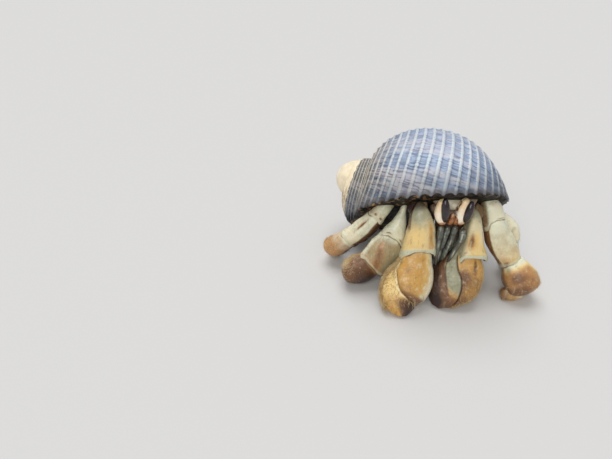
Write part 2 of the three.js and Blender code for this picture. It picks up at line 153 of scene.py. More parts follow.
class Surface:
    """A closed mesh in progress: points in mm, faces, and numbers on the points."""

    def __init__(self, points, faces, fields):
        self.points, self.faces, self.fields = points, faces, fields

    def normals(self):
        found = np.zeros_like(self.points)
        for size in (3, 4):
            group = np.array([f for f in self.faces if len(f) == size], int).reshape(-1, size)
            corner = self.points[group]
            flat = np.cross(corner[:, 2] - corner[:, 0], corner[:, -1] - corner[:, 1])
            for k in range(size):
                np.add.at(found, group[:, k], flat)
        return unit(found)

    def push(self, heights):
        self.points = self.points + self.normals() * heights[:, None]


def closed(rings):
    """A grid of rings of points, closed round each ring and onto a pole at each end."""
    rows, cols = rings.shape[:2]
    j = np.arange(cols)
    k = (j + 1) % cols
    low = np.arange(rows - 1)[:, None] * cols
    quads = np.stack([low + j, low + k, low + cols + k, low + cols + j], axis=-1)
    end, first = (rows - 1) * cols, rows * cols
    caps = [np.stack([np.full(cols, first), k, j], axis=-1),
            np.stack([np.full(cols, first + 1), end + j, end + k], axis=-1)]
    points = np.vstack([rings.reshape(-1, 3), rings[0].mean(0), rings[-1].mean(0)])
    return points, quads.reshape(-1, 4).tolist() + np.vstack(caps).tolist()


# How a socket's rim turns in: forward and inward steps in mm from the end of the limb.
RIM = [(0.08, 0.03), (0.13, 0.12), (0.12, 0.24), (0.02, 0.33), (-0.25, 0.4), (-0.7, 0.46),
       (-1.2, 0.9)]
SOCKET_SHARE = 0.42  # how much of the end cap's length a socket is cut back by
CAP_RINGS = 12
THINNEST = 0.05  # mm from the path to the surface
EDGE_SHARE, EDGE_EASE = 0.4, 1.5  # how far back the rim's drawing reaches, and its curve
BLUNT = 2.3  # 2 is an ellipse, and more is squarer


def dome(share):
    """The height of a quarter circle at a share of the way in from its edge."""
    return np.sqrt(1 - (1 - np.clip(share, 0, 1)) ** 2)


def loft(path, wide, deep, side=(1, 0, 0), cap=(0.2, 0.14), edge=None, cols=72, rows=80):
    """A rounded body along a smooth path, as the solids are made, or one that ends in a socket
    where edge is given. edge draws the rim forward by so many mm at angles in degrees.
    Its fields are t along it, a round it from its side towards its front, and rim, which is
    0 on the outside and rises to 1 inside the socket."""
    socket = edge is not None
    line, ways, length = smooth_path(path)
    start = cap[0] * (1 - np.cos(np.linspace(0.06, 1, CAP_RINGS, endpoint=False) * np.pi / 2))
    stop = 1 - (SOCKET_SHARE if socket else 1) * cap[1]
    t = np.concatenate([start, np.linspace(cap[0], stop, rows)])
    if socket:
        steps = np.vstack([np.zeros((len(t), 2)), RIM])
        depth = np.concatenate([0 * t, np.linspace(0.12, 1, len(RIM))])
        t = np.concatenate([t, np.full(len(RIM), stop)])
    else:
        final = 1 - cap[1] * np.cos(np.linspace(0, 0.94, CAP_RINGS + 1)[1:] * np.pi / 2)
        t = np.concatenate([t, final])
        steps, depth = np.zeros((len(t), 2)), 0 * t
    round_off = dome(t / cap[0])
    if not socket:
        round_off = round_off * dome((1 - t) / cap[1])
    pick, known = t * (len(line) - 1), np.arange(len(line))
    centre, forward = sample(line, known, pick), unit(sample(ways, known, pick))
    side = np.array(side, float)
    across = unit(side - (forward @ side)[:, None] * forward)
    over = np.cross(forward, across)
    half_wide, half_deep = (
        np.maximum(round_off * along(sizes, t) / 2 - steps[:, 1], THINNEST) for sizes in (wide, deep))
    turn = np.arange(cols) / cols * TAU
    c, d = (np.sign(w) * np.abs(w) ** (2 / BLUNT) for w in (np.cos(turn), np.sin(turn)))
    ring = (across[:, None] * (half_wide[:, None] * c)[..., None]
            + over[:, None] * (half_deep[:, None] * d)[..., None])
    rings = (centre + forward * steps[:, :1])[:, None] + ring
    if edge:
        drawn = np.interp(np.degrees(turn), *np.array(edge, float).T, period=360)
        near = np.clip((t - stop) / EDGE_SHARE + 1, 0, 1) ** EDGE_EASE
        rings += forward[:, None] * (near[:, None] * drawn)[..., None]
    points, faces = closed(rings)
    made = Surface(points, faces, {
        "t": np.concatenate([np.repeat(t, cols), [0, t[-1]]]),
        "a": np.concatenate([np.tile(turn, len(t)), [0, 0]]),
        "rim": np.concatenate([np.repeat(depth, cols), [0, depth[-1]]]),
    })
    made.length, made.ways = length, ways
    return made


# ---------------------------------------------------------------- pieces


def add_object(name, data):
    made = bpy.data.objects.new(name, data)
    bpy.context.scene.collection.objects.link(made)
    return made


def mesh_object(name, points, faces):
    mesh = bpy.data.meshes.new(name)
    mesh.from_pydata(np.asarray(points).tolist(), [], faces)
    mesh.update()
    return add_object(name, mesh)


def evaluated(body, tools=()):
    """The points and faces that an object's modifiers leave. The object goes, with its tools."""
    graph = bpy.context.evaluated_depsgraph_get()
    mesh = bpy.data.meshes.new_from_object(body.evaluated_get(graph))
    points = np.empty(len(mesh.vertices) * 3)
    mesh.vertices.foreach_get("co", points)
    faces = [list(p.vertices) for p in mesh.polygons]
    for spent in (body, *tools):
        data = spent.data
        bpy.data.objects.remove(spent)
        bpy.data.meshes.remove(data)
    bpy.data.meshes.remove(mesh)
    return points.reshape(-1, 3), faces


def piece(name, surface, material, slot, nodes, sharp=None):
    """A mesh object that rides on the model and stands in for the solids named. What would be
    under the floor is laid flat on it."""
    above = np.maximum(surface.points, [-np.inf, -np.inf, 0])
    made = mesh_object(name, (above + SHIFT) * MM, surface.faces)
    mesh = made.data
    for field, values in surface.fields.items():
        layer = mesh.attributes.new(field, "FLOAT", "POINT")
        layer.data.foreach_set("value", values.astype(np.float32))
    mesh.shade_smooth()
    if sharp:
        mesh.set_sharp_from_angle(angle=np.radians(sharp))
    mesh.materials.append(material)
    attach(made, "root")
    if nodes:
        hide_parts(*nodes)
    return made


# ---------------------------------------------------------------- materials


class Nodes:
    """A short way to write a material's nodes."""

    def __init__(self, name):
        self.material = bpy.data.materials.new(name)
        self.material.use_nodes = True
        self.tree = self.material.node_tree
        self.shader = self.tree.nodes["Principled BSDF"]
        self.colour = None  # the base colour so far

    def add(self, kind, inputs=(), **settings):
        node = self.tree.nodes.new(kind)
        for key, value in settings.items():
            setattr(node, key, value)
        for key, value in dict(inputs).items():
            self.put(node.inputs[key], value)
        return node

    def put(self, socket, value):
        if isinstance(value, bpy.types.NodeSocket):
            self.tree.links.new(value, socket)
        elif hasattr(value, "__len__") and len(value) == 3 and socket.type == "RGBA":
            socket.default_value = (*value, 1)
        else:
            socket.default_value = value

    def field(self, name):
        return self.add("ShaderNodeAttribute", attribute_name=name).outputs["Fac"]

    def place(self):
        return self.add("ShaderNodeTexCoord").outputs["Object"]

    def place_on(self, axis):
        return self.add("ShaderNodeSeparateXYZ", {"Vector": self.place()}).outputs[axis]

    def maths(self, operation, *values, clamp=False):
        inputs = dict(enumerate(values))
        node = self.add("ShaderNodeMath", inputs, operation=operation, use_clamp=clamp)
        return node.outputs[0]

    def plus(self, first, second, clamp=False):
        return self.maths("ADD", first, second, clamp=clamp)

    def times(self, product, *others):
        for value in others:
            product = self.maths("MULTIPLY", product, value)
        return product

    def around(self, value, by, middle=0.5):
        """How far a value is from the middle, times by."""
        return self.times(self.maths("SUBTRACT", value, middle), by)

    def band(self, value, middle, edge, core):
        """1 where the value is within core of the middle, and 0 beyond edge."""
        off = self.maths("ABSOLUTE", self.maths("SUBTRACT", value, middle))
        return self.step(off, edge, core)

    def texture(self, where, scale, detail, rough):
        inputs = {"Vector": where, "Scale": scale, "Detail": detail, "Roughness": rough}
        return self.add("ShaderNodeTexNoise", inputs).outputs["Fac"]

    def noise(self, size, detail=3, stretch=None, rough=0.55):
        """Noise in 0..1 with features about size mm across."""
        where = self.place()
        if stretch:
            where = self.stretched(where, (1.0, 1.0, stretch))
        return self.texture(where, 1 / (size * MM), detail, rough)

    def stretched(self, where, scale):
        return self.add("ShaderNodeMapping", {"Vector": where, "Scale": scale}).outputs[0]

    def step(self, value, low, high, to=(0, 1)):
        inputs = {"Value": value, "From Min": low, "From Max": high, "To Min": to[0], "To Max": to[1]}
        return self.add("ShaderNodeMapRange", inputs, interpolation_type="SMOOTHSTEP").outputs[0]

    def mix(self, factor, first, second, kind="MIX"):
        node = self.add("ShaderNodeMix", data_type="RGBA", blend_type=kind)
        self.put(node.inputs["Factor"], factor)
        self.put(node.inputs[6], first)
        self.put(node.inputs[7], second)
        return node.outputs[2]

    def mottle(self, value, low, high, first, second):
        return self.mix(self.step(value, low, high), first, second)

    def over(self, factor, colour, kind="MIX"):
        """Lays another colour over the base colour."""
        self.colour = self.mix(factor, self.colour, colour, kind)

    def bump(self, height, distance, strength=1.0, normal=None):
        inputs = {"Height": height, "Distance": distance * MM, "Strength": strength}
        if normal is not None:
            inputs["Normal"] = normal
        return self.add("ShaderNodeBump", inputs).outputs[0]

    def finish(self, **inputs):
        for key, value in {"Base_Color": self.colour, **inputs}.items():
            self.put(self.shader.inputs[key.replace("_", " ")], value)
        return self.material


# Colours as linear light.
CREAM = (0.80, 0.70, 0.44)
MINT = (0.83, 0.82, 0.62)
IVORY = (0.88, 0.80, 0.58)
GOLD = (0.88, 0.64, 0.26)
BROWN = (0.19, 0.085, 0.032)
MAROON = (0.030, 0.013, 0.009)
OLIVE = (0.33, 0.32, 0.205)
TAN = (0.40, 0.29, 0.145)
COLLAR = (0.62, 0.62, 0.45)


def shade(colour, by):
    return tuple(by * c for c in colour)


def cuticle(name, base, warm):
    """A crab's hard skin. Its fields say how much of each colour shows: gold, tan, green,
    warm, pale, a brown for its own marks and for painted shade on sides turned from the light,
    a near-black for painted shade in sockets, creases, undersides and parts under the shell,
    with the joints' own darkness, and collar for the pale end of a segment. Noise breaks up the
    places where one colour gives way to the next."""
    n = Nodes(name)
    broad, fine = n.noise(1.5, 4), n.noise(0.32, 3)
    drift = n.plus(n.around(broad, 0.5), n.around(fine, 0.25))

    def mask(field, soft=0.46, most=1.0):
        value = n.plus(n.field(field), n.times(drift, n.step(n.field(field), 0.0, 0.3)))
        return n.step(value, 0.5 - soft, 0.5 + soft, (0, most))

    n.colour = n.mottle(broad, 0.3, 0.7, base, shade(base, 0.87))
    for field, over in (("gold", GOLD), ("tan", TAN), ("green", OLIVE), ("warm", warm), ("pale", IVORY)):
        n.over(mask(field), over)
    # Brown: the cuticle's own marks, and painted shade on the undersides and on sides turned from the
    # light.
    n.over(mask("brown_and_shade", 0.4), BROWN)
    n.over(mask("collar", 0.35, 0.9), COLLAR)
    # Streaks along the limb, pale spots and darker freckles, most of them in the coloured parts.
    grain = n.noise(0.9, 4, stretch=0.28, rough=0.65)
    n.over(n.step(grain, 0.54, 0.70, (0, 0.42)), shade(base, 0.45), "MULTIPLY")
    n.over(n.step(grain, 0.44, 0.30, (0, 0.30)), IVORY)
    pale, freckle = n.step(n.noise(0.42, 2), 0.60, 0.70), n.step(n.noise(0.6, 5, rough=0.7), 0.58, 0.72)
    warmth = n.field("warm")
    n.over(n.times(pale, n.step(warmth, 0.2, 0.8, (0.04, 0.2))), IVORY)
    n.over(n.times(freckle, n.step(warmth, 0.1, 0.8, (0.16, 0.45))), BROWN)
    # Near-black: painted shade in the sockets, creases, undersides and parts under the shell, with the
    # joints' own darkness.
    n.over(n.field("shade_and_joint"), MAROON)
    bumps = n.bump(n.noise(0.55, 4), 0.10, 0.6)
    bumps = n.bump(n.noise(0.2, 3), 0.045, 0.7, bumps)
    return n.finish(
        Roughness=n.step(broad, 0.25, 0.75, (0.30, 0.48)), Normal=bumps,
        Subsurface_Weight=0.12, Subsurface_Scale=0.0007, Coat_Weight=0.1, Coat_Roughness=0.3,
    )


# ---------------------------------------------------------------- the shell

APEX = np.array([-18.6, 8.2, 12.7])  # where the coiling axis leaves the tip of the spire
AXIS_HEADING, AXIS_RISE, LIP_TURN = np.radians([155.2, 11.9, 42.1])
RADIUS, EXPANSION = 21.9, 2.76  # in mm at the lip, and how much it grows in a turn
SEC_R, SEC_Z, SEC_OUT, SEC_UP, SEC_DOWN = 0.257, -1.027, 0.623, 0.724, 0.631
SEAM = 100  # degrees round the section, from its middle, where the next whorl begins
CORDS, CORD_HEIGHT = 28, 0.25
GROWTH_RUN = 19.0  # mm of growth in a radian, near the lip
MOUTH = unit(np.array([0, -0.733, -0.68]))  # the way the mouth faces
SPIRE_SIZE = (4.2, 4.2, 5.2)  # across the axis, across it and along it
CORE, COLUMELLA = 0.03, 0.34  # from the axis, as shares of the radius
LIP_WALL, MORE_WALL = 0.5, 0.75  # the wall's thickness in mm at the lip, and its growth inwards
LIP_LEDGE = 0.26  # mm by which the lip waves with the cords


def mouth_reach(x):
    """How far along MOUTH the shell reaches at x: furthest in its middle, least at its base."""
    return -4.1 - np.logaddexp(-0.3 * x, 1.1 * x) / 12


def coiling_frame():
    rise, heading = AXIS_RISE, AXIS_HEADING
    level_part = [np.cos(rise) * np.cos(heading), np.cos(rise) * np.sin(heading)]
    axis = np.array([*level_part, np.sin(rise)])
    level = np.array([0.0, -1, 0])
    level = unit(level - axis * (axis @ level))
    above = unit(np.cross(level, axis))
    above *= np.sign(above[2])
    lip = level * np.cos(LIP_TURN) + above * np.sin(LIP_TURN)
    return axis, lip, above * np.cos(LIP_TURN) - level * np.sin(LIP_TURN)


AXIS, LIP, BACK = coiling_frame()
SPIRE = APEX - 5.5 * AXIS + [0, 0, 0.6]


def coil(r, z, degrees):
    """Points of the coil at section places r, z and growth angles behind the lip."""
    degrees = degrees[:, None, None]
    scale, turn = RADIUS * EXPANSION ** (-degrees / 360), np.radians(degrees)
    out = np.cos(turn) * LIP + np.sin(turn) * BACK
    return APEX + scale * (r[..., None] * out + z[..., None] * AXIS)


def section(phi, out):
    """The whorl's section at angles phi, its outline moved out by a share of the radius."""
    reach = np.where(phi > 0, SEC_UP, SEC_DOWN)
    return SEC_R + (SEC_OUT + out) * np.cos(phi), SEC_Z + (reach + out) * np.sin(phi)


def cord_relief(share):
    """The height of the spiral cords at a share of the way from the base to the seam, -1..1."""
    off = np.abs((share * CORDS + 0.5) % 1 - 0.5)
    return 2 * np.exp(-((off / 0.2) ** 2)) - 1


def whorl(first, last, step, points, ribbed=1.0):
    """A closed stretch of the coil, from its axis out, between two growth angles."""
    turns = np.linspace(first, last, int(round((last - first) / step)) + 1)
    behind = turns[:, None]
    share = np.linspace(0, 1, points)
    fade = ribbed * smooth(520, 400, behind)
    # Growth pauses leave low steps across the whorl.
    pause = 0.05 * np.sin(behind / 9.5 + 0.8 * np.sin(behind / 31))
    relief = CORD_HEIGHT / 2 * cord_relief(share) * (1 + 0.25 * np.sin(behind / 4.3))
    r, z = section(np.radians(-90 + share * (SEAM + 90)), (relief + pause) * fade / RADIUS)
    r = np.pad(r, ((0, 0), (1, 1)), constant_values=CORE)
    ends = ((0, 0), (SEC_Z - SEC_DOWN, SEC_Z + SEC_UP))
    return closed(coil(r, np.pad(z, ((0, 0), (1, 1)), constant_values=ends), turns))


def hollow(first, last):
    """The animal's room: the whorl less its wall, which thins to the lip."""
    turns = np.arange(first, last + 1, 3.0)
    phi = np.radians(np.linspace(-78, 72, 70))

    def place(wall):
        r, z = section(phi, -wall / RADIUS)
        r[:, 0] = r[:, -1] = COLUMELLA
        return coil(r, z, turns)

    room = place(np.full((len(turns), 1), 1.15))
    deep = mouth_reach(room[..., 0]) - room @ MOUTH
    return closed(place(LIP_WALL + MORE_WALL * smooth(0.2, 4.5, deep)))


def ball(centre, radii, pole):
    """A closed ellipsoid, its last radius along the pole."""
    side = unit(np.cross(pole, UP))
    ways = np.array([side, np.cross(pole, side), pole])
    turn = np.arange(120) / 120 * TAU
    lift = np.linspace(-np.pi / 2 + 0.03, np.pi / 2 - 0.03, 80)[:, None]
    level = np.cos(lift)
    rings = np.stack([level * np.cos(turn), level * np.sin(turn), np.sin(lift) + 0 * turn], axis=-1)
    return closed(rings * np.array(radii) @ ways + centre)


def beyond(normal, offset, size=120.0):
    """A big closed block on the far side of a plane."""
    side = unit(np.cross(normal, [1.0, 0.2, 0]))
    up = np.cross(normal, side)
    corners = [(side * x + up * y) * size for x, y in ((-1, -1), (1, -1), (1, 1), (-1, 1))]
    return closed(np.array([[normal * h + c for c in corners] for h in (offset, offset + size)]))


def outside_mouth():
    """A closed block that fills the space outside the mouth's gently curved surface."""
    down = np.cross(MOUTH, [1.0, 0, 0])
    rows, cols, thick = 161, 61, 60
    u, v = np.linspace(-40, 40, rows), np.linspace(-45, 45, cols)
    x, y = (g[..., None] for g in np.meshgrid(u, v, indexing="ij"))
    sheet = x * [1.0, 0, 0] + y * down + mouth_reach(x) * MOUTH
    sheet = sheet + MOUTH * 0.03 * (np.sin(2.1 * x) + np.sin(1.7 * y + x))
    points = np.vstack([sheet.reshape(-1, 3), (sheet + thick * MOUTH).reshape(-1, 3)])
    index = np.arange(rows * cols).reshape(rows, cols)
    near = np.stack([index[:-1, :-1], index[:-1, 1:], index[1:, 1:], index[1:, :-1]], axis=-1)
    near = near.reshape(-1, 4)
    far = near[:, ::-1] + rows * cols
    edge = np.concatenate([index[0, :-1], index[:-1, -1], index[-1, :0:-1], index[:0:-1, 0]])
    following = np.roll(edge, -1)
    walls = np.stack([following, edge, edge + rows * cols, following + rows * cols], axis=1)
    return points, np.vstack([near, far, walls]).tolist()


def combine(base, steps):
    """The mesh that is left when each step's solid is joined to the base or cut from it."""
    body, tools = mesh_object("work", *base), []
    for i, (operation, solid) in enumerate(steps):
        tools.append(mesh_object("tool", *solid))
        change = body.modifiers.new(f"step{i}", "BOOLEAN")
        change.operation, change.object, change.solver = operation, tools[-1], "MANIFOLD"
    return evaluated(body, tools)


def shell_fields(points):
    """For each point of the shell: its share across the whorl, in cords; the degrees of growth
    to it; how worn it is; how far it lies inside; and how early it was made."""
    q = points - APEX
    x, y, z = q @ LIP, q @ BACK, q @ AXIS
    rho, around = np.hypot(x, y), np.degrees(np.arctan2(y, x)) % 360
    best = np.full(len(points), 1e9)
    cord, growth, inside = (np.zeros(len(points)) for _ in range(3))
    for turn in (-360, 0, 360):
        degrees = around + turn
        scale = RADIUS * EXPANSION ** (-degrees / 360)
        dr, dz = rho / scale - SEC_R, z / scale - SEC_Z
        dr, dz = dr / SEC_OUT, dz / np.where(dz > 0, SEC_UP, SEC_DOWN)
        off = np.hypot(dr, dz) - 1
        share = (np.degrees(np.arctan2(dz, dr)) + 90) / (SEAM + 90)
        outside_whorl = (degrees < -85) | (share > 1.04) | (share < -0.04)
        misfit = np.abs(off) * scale + np.where(outside_whorl, 100, 0)
        chosen = misfit < best
        best = np.where(chosen, misfit, best)
        cord = np.where(chosen, share * CORDS, cord)
        growth = np.where(chosen, degrees, growth)
        inside = np.where(chosen, -off * scale * SEC_OUT, inside)
    # The spire is worn, and more so where it is high, and the first whorls are bare.
    height = points[:, 2]
    worn = smooth(-6.2, -4.4, z - 0.13 * np.maximum(height - 8, 0))
    early = smooth(450, 540, growth) * np.maximum(worn, smooth(14, 8, height))
    early = np.maximum(early, smooth(4.9, 3.7, rho) * worn)
    return {"cord": cord, "growth": growth, "worn": worn, "inside": inside, "early": early}


def shell_surface():
    # Growth angles in degrees behind the lip, their step, and how many points lie across.
    points, faces = combine(whorl(-80, 130, 1.4, 260), [
        ("UNION", whorl(130, 330, 1.6, 260)),
        ("UNION", whorl(320, 520, 2, 200)),
        ("UNION", whorl(520, 760, 5, 60, ribbed=0.0)),
        ("UNION", ball(SPIRE, SPIRE_SIZE, AXIS)),
        ("DIFFERENCE", outside_mouth()),
        ("DIFFERENCE", hollow(-80, 100)),
        ("DIFFERENCE", hollow(97, 232)),
        ("DIFFERENCE", beyond(-UP, 0.0)),
    ])
    fields = shell_fields(points)
    cord = fields["cord"]
    # The lip reaches out a little at each cord, but not near the base or the seam.
    depth = mouth_reach(points[:, 0]) - points @ MOUTH
    near = smooth(2.2, 0.0, depth) * smooth(2.0, 0.6, fields["inside"]) * smooth(0.4, 1.2, points[:, 2])
    near = near * smooth(2.5, 7.0, cord) * smooth(27.5, 24.5, cord)
    ledge = (LIP_LEDGE * cord_relief(cord / CORDS) - 0.02) * near
    fields["lip"], fields["deep"] = smooth(1.6, 0.0, depth), depth
    fields["growth"] = np.radians(fields["growth"]) * GROWTH_RUN
    return Surface(points + MOUTH * ledge[:, None], faces, fields)


# The shell's colours. The tints are multiplied in.
SLATE, PALE_SLATE = (0.062, 0.080, 0.135), (0.20, 0.245, 0.33)
ROSY, CREAMY, PAUSE = (0.40, 0.33, 0.34), (0.50, 0.46, 0.36), (0.66, 0.58, 0.57)
PALE_LINE, DARK_LINE, CREST_LINE = (0.34, 0.40, 0.48), (0.022, 0.027, 0.040), (0.16, 0.175, 0.19)
CREST, WARM_CREST = (0.39, 0.48, 0.52), (0.56, 0.50, 0.42)
OLD_BAND, OLD_CREST = (0.155, 0.145, 0.13), (0.50, 0.45, 0.36)
# The first is the colour of the painted shade along each cord's shaded side; the second is rust.
CORD_SHADE, RUST = (0.035, 0.040, 0.055), (0.26, 0.18, 0.10)
# Painted highlight colours for the shell's top, where the sky would shine on it.
HIGHLIGHT_BAND, HIGHLIGHT_CREST = (0.50, 0.60, 0.80), (0.72, 0.79, 0.85)
# The first tint is painted shade on the lower whorl; the second darkens the growth ticks; the third
# deepens the painted shade along each cord.
LOW_SHADE_TINT, TICK_TINT, CORD_SHADE_TINT = (0.70, 0.74, 0.80), (0.34, 0.38, 0.47), (0.40, 0.44, 0.52)
# Painted shade towards the lip, darkest at the lip's edge.
LIP_SHADE, LIP_EDGE = (0.065, 0.075, 0.10), (0.06, 0.055, 0.06)
BARE, BARE_TAN, BARE_TIP = (0.90, 0.78, 0.56), (0.80, 0.64, 0.42), (0.78, 0.65, 0.46)
BARE_LOW, BARE_THREAD = (0.42, 0.36, 0.29), (0.17, 0.12, 0.08)
# The last is near-black for the inside next to the mouth: the lip's dark edge together with painted
# shade.
ROOM, DARK_ROOM, ROOM_EDGE = (0.34, 0.29, 0.22), (0.22, 0.18, 0.13), (0.028, 0.024, 0.024)
RIM_DARK, RIM_SPECK = (0.018, 0.015, 0.015), (0.42, 0.25, 0.10)


def shell_material():
    n = Nodes("shell_slate")
    cord, growth, worn, early, lip, deep = (
        n.field(name) for name in ("cord", "growth", "worn", "early", "lip", "deep"))
    off = n.maths("PINGPONG", cord, 0.5)  # 0 on a cord, 0.5 midway between two
    flat = n.add("ShaderNodeCombineXYZ", {"X": n.times(cord, 1.1), "Y": growth}).outputs[0]
    height = n.place_on("Z")

    def pattern(across, lengthwise, detail=3):
        """Noise in the shell's own directions; the numbers are features to the millimetre."""
        return n.texture(n.stretched(flat, (across, lengthwise, 1)), 1.0, detail, 0.6)

    edge = n.around(pattern(0.9, 1.3), 0.26)
    ridge = n.step(n.plus(off, edge), 0.205, 0.10)
    lines = pattern(0.5, 2.4, 4)
    # Slate bands between the cords, in darker and paler blocks.
    blocks = pattern(0.75, 0.55)
    band = n.mottle(blocks, 0.38, 0.60, SLATE, PALE_SLATE)
    # Broad rosy and cream zones across the whorl, where growth paused.
    pause = n.step(pattern(0.07, 0.36), 0.47, 0.58)
    zone = n.mottle(pattern(0.4, 0.5, 2), 0.42, 0.58, ROSY, CREAMY)
    band = n.mix(n.times(pause, n.step(blocks, 0.30, 0.55, (0.2, 0.8))), band, zone)
    # Short dark growth lines cross them in groups.
    groups = n.step(pattern(0.35, 0.45, 2), 0.38, 0.54, (0.5, 1.0))
    band = n.mix(n.step(lines, 0.45, 0.32, (0, 0.6)), band, PALE_LINE)
    band = n.mix(n.times(n.step(lines, 0.51, 0.60), groups), band, DARK_LINE)
    crest = n.mottle(pattern(0.3, 0.8), 0.35, 0.7, CREST, WARM_CREST)
    crest = n.mix(n.step(lines, 0.50, 0.64, (0, 0.75)), crest, CREST_LINE)
    # Towards the spire and on the older whorl the shell is greyer, its cords rusty at the edges.
    near = n.step(n.plus(cord, n.times(n.noise(2.5), 3.0)), 21, 27)
    near = n.maths("MAXIMUM", near, n.step(growth, 92, 118))
    band = n.mix(near, band, OLD_BAND)
    crest = n.mix(near, crest, OLD_CREST)
    n.colour = n.mix(n.times(ridge, 0.94), band, crest)
    # A dark line painted along each cord's side away from the spire is painted shade, the cord's shaded
    # side.
    turned = n.maths("FRACT", n.plus(cord, n.times(edge, 0.5)))
    cord_shade_and_thread = n.times(n.band(turned, 0.76, 0.07, 0.02), n.step(pattern(0.8, 0.6), 0.36, 0.55))
    n.over(n.times(cord_shade_and_thread, 0.75), CORD_SHADE)
    patchy = n.step(pattern(0.6, 0.5), 0.35, 0.6)
    rust = n.times(n.band(off, 0.22, 0.11, 0.03), n.step(cord, 17, 25), patchy)
    n.over(rust, RUST)
    # A painted highlight pales the top, where the sky would shine on it, and painted shade darkens the
    # lower whorl and the shell just above the lip. The lines show through.
    highlight_reach = n.plus(height, n.times(n.noise(4.0), 2.0 * MM))
    low = n.step(height, 13 * MM, 21 * MM, (0.3, 0.0))
    painted_highlight = n.mix(ridge, HIGHLIGHT_BAND, HIGHLIGHT_CREST)
    # Painted shade: the lower whorl is darkened.
    n.over(low, LOW_SHADE_TINT, "MULTIPLY")
    # The painted highlight on the top.
    n.over(n.step(highlight_reach, 19.5 * MM, 28 * MM, (0, 0.60)), painted_highlight)
    n.over(n.times(pause, 0.24), PAUSE)
    ticks = n.times(n.step(lines, 0.50, 0.58), groups, n.step(ridge, 0.9, 0.3, (0.1, 1.0)), 0.62)
    n.over(ticks, TICK_TINT, "MULTIPLY")
    # The painted shade along each cord also darkens the colours laid over it.
    n.over(n.times(cord_shade_and_thread, 0.22), CORD_SHADE_TINT, "MULTIPLY")
    # Painted shade darkens the shell towards the lip, most at its edge.
    n.over(n.step(deep, 6.0, 0.5, (0, 0.45)), LIP_SHADE)
    n.over(n.step(lip, 0.15, 1.0, (0, 0.75)), LIP_EDGE)
    # The worn spire is bare and cream, with brown threads below.
    cord_shade_and_thread = n.step(n.maths("PINGPONG", n.times(cord, 2.0), 0.5), 0.16, 0.30)
    low = n.plus(height, n.times(n.noise(2.0), 2.5 * MM))
    low = n.step(low, 16 * MM, 12.5 * MM, (0, 0.8))
    cord_shade_and_thread = n.times(cord_shade_and_thread, n.step(pattern(0.9, 0.25), 0.34, 0.60), low)
    bare = n.mottle(n.noise(1.6), 0.35, 0.7, BARE, BARE_TAN)
    bare = n.mix(n.step(height, 12 * MM, 6 * MM, (0, 0.75)), bare, BARE_LOW)
    bare = n.mix(cord_shade_and_thread, bare, BARE_THREAD)
    n.over(n.step(n.plus(worn, n.around(n.noise(0.9), 0.6)), 0.4, 0.6), bare)
    n.over(early, n.mottle(n.noise(1.3), 0.35, 0.7, BARE, BARE_TIP))
    # Inside: dull porcelain behind a dark lip, turning near-black towards the mouth, where the lip's
    # dark edge and painted shade under the lip meet.
    room = n.mottle(n.noise(3.0), 0.3, 0.7, ROOM, DARK_ROOM)
    specks = n.step(n.place_on("X"), 1 * MM, -7 * MM, (0.08, 1.0))
    specks = n.times(n.step(n.noise(0.9), 0.5, 0.64), specks)
    rim = n.mix(specks, RIM_DARK, RIM_SPECK)
    room = n.mix(n.step(deep, 7.0, 2.5), room, ROOM_EDGE)
    n.over(n.step(n.field("inside"), 0.24, 0.34), n.mix(lip, room, rim))
    fine = n.plus(n.times(lines, 0.7), n.times(pattern(1.6, 8.0), 0.3))
    bumps = n.bump(n.times(fine, n.step(n.maths("MAXIMUM", worn, early), 0.6, 0.1)), 0.10, 0.9)
    return n.finish(
        Roughness=n.step(n.noise(1.2), 0.2, 0.8, (0.40, 0.58)),
        Normal=n.bump(n.noise(0.35, 4), 0.03, 0.6, bumps),
    )


# ---------------------------------------------------------------- the limbs
# The same paths and widths as the solids, from the body to the tip. Round a limb that hangs
# down, 0 is the crab's left, 90 its front and 180 its right.

# The line between a claw's two fingers: shares along the palm, and the angle round it there.
# The movable finger ends at the angle far, and at the share end. way is the side that it is on.
FINGERS = {
    "right": dict(at=[0.0, 0.1, 0.22, 0.33, 0.5, 0.67, 0.8, 0.87],
                  line=[200, 195, 178, 163, 140, 105, 70, 34], far=-75, end=0.89, way=1),
    "left": dict(at=[0.0, 0.08, 0.25, 0.4, 0.55, 0.7, 0.85, 1.0],
                 line=[128, 128, 108, 92, 74, 56, 34, 10], far=235, end=1.2, way=-1),
}
MASKS = ("gold", "tan", "green", "warm", "pale", "brown_and_shade", "shade_and_joint", "collar")


def paint_claw_merus(m):
    """Painted shade all over, but for the side towards the mouth, as the merus lies under the shell."""
    lit = m.on(-70, 70, 40) * m.up(0.4, 0.75)
    return dict(tan=0.9 * lit, brown_and_shade=0.9 - 0.45 * lit, shade_and_joint=1.0 - 0.72 * lit)


def paint_left_finger(m):
    """Green by the groove, then a brown field with veins across their border; its brown and near-black
    are deepened with painted shade, as this face is turned from the light.
    """
    m = Marks(m.t, m.a - np.radians(np.interp(m.t, FINGERS["left"]["at"], FINGERS["left"]["line"])))
    off = turn_from(m.a, 0)
    veins = m.up(0.1, 0.25) * m.up(0.8, 0.6) * sum(
        hill(off, at + 3 * np.sin(9 * m.t + at), 2.2) for at in (34, 43, 52, 63))
    return dict(
        gold=0.7 * m.line(14, 9) * m.up(0.1, 0.3),
        green=0.95 * m.up(-0.02, 0.06) * smooth(60, 30, off) * m.up(0.86, 0.62),
        tan=0.3 + 0.4 * m.up(0.5, 0.8),
        warm=0.6 * smooth(34, 48, off) + 0.9 * m.up(0.6, 0.78),
        brown_and_shade=0.98 * smooth(30, 46, off) + 0.85 * m.up(0.62, 0.84) + 0.7 * veins,
        shade_and_joint=(0.85 * smooth(46, 66, off) + 0.9 * m.up(0.34, 0.12) * smooth(12, 28, off)
               + 0.5 * veins + 0.5 * m.up(0.8, 0.95)),
    )


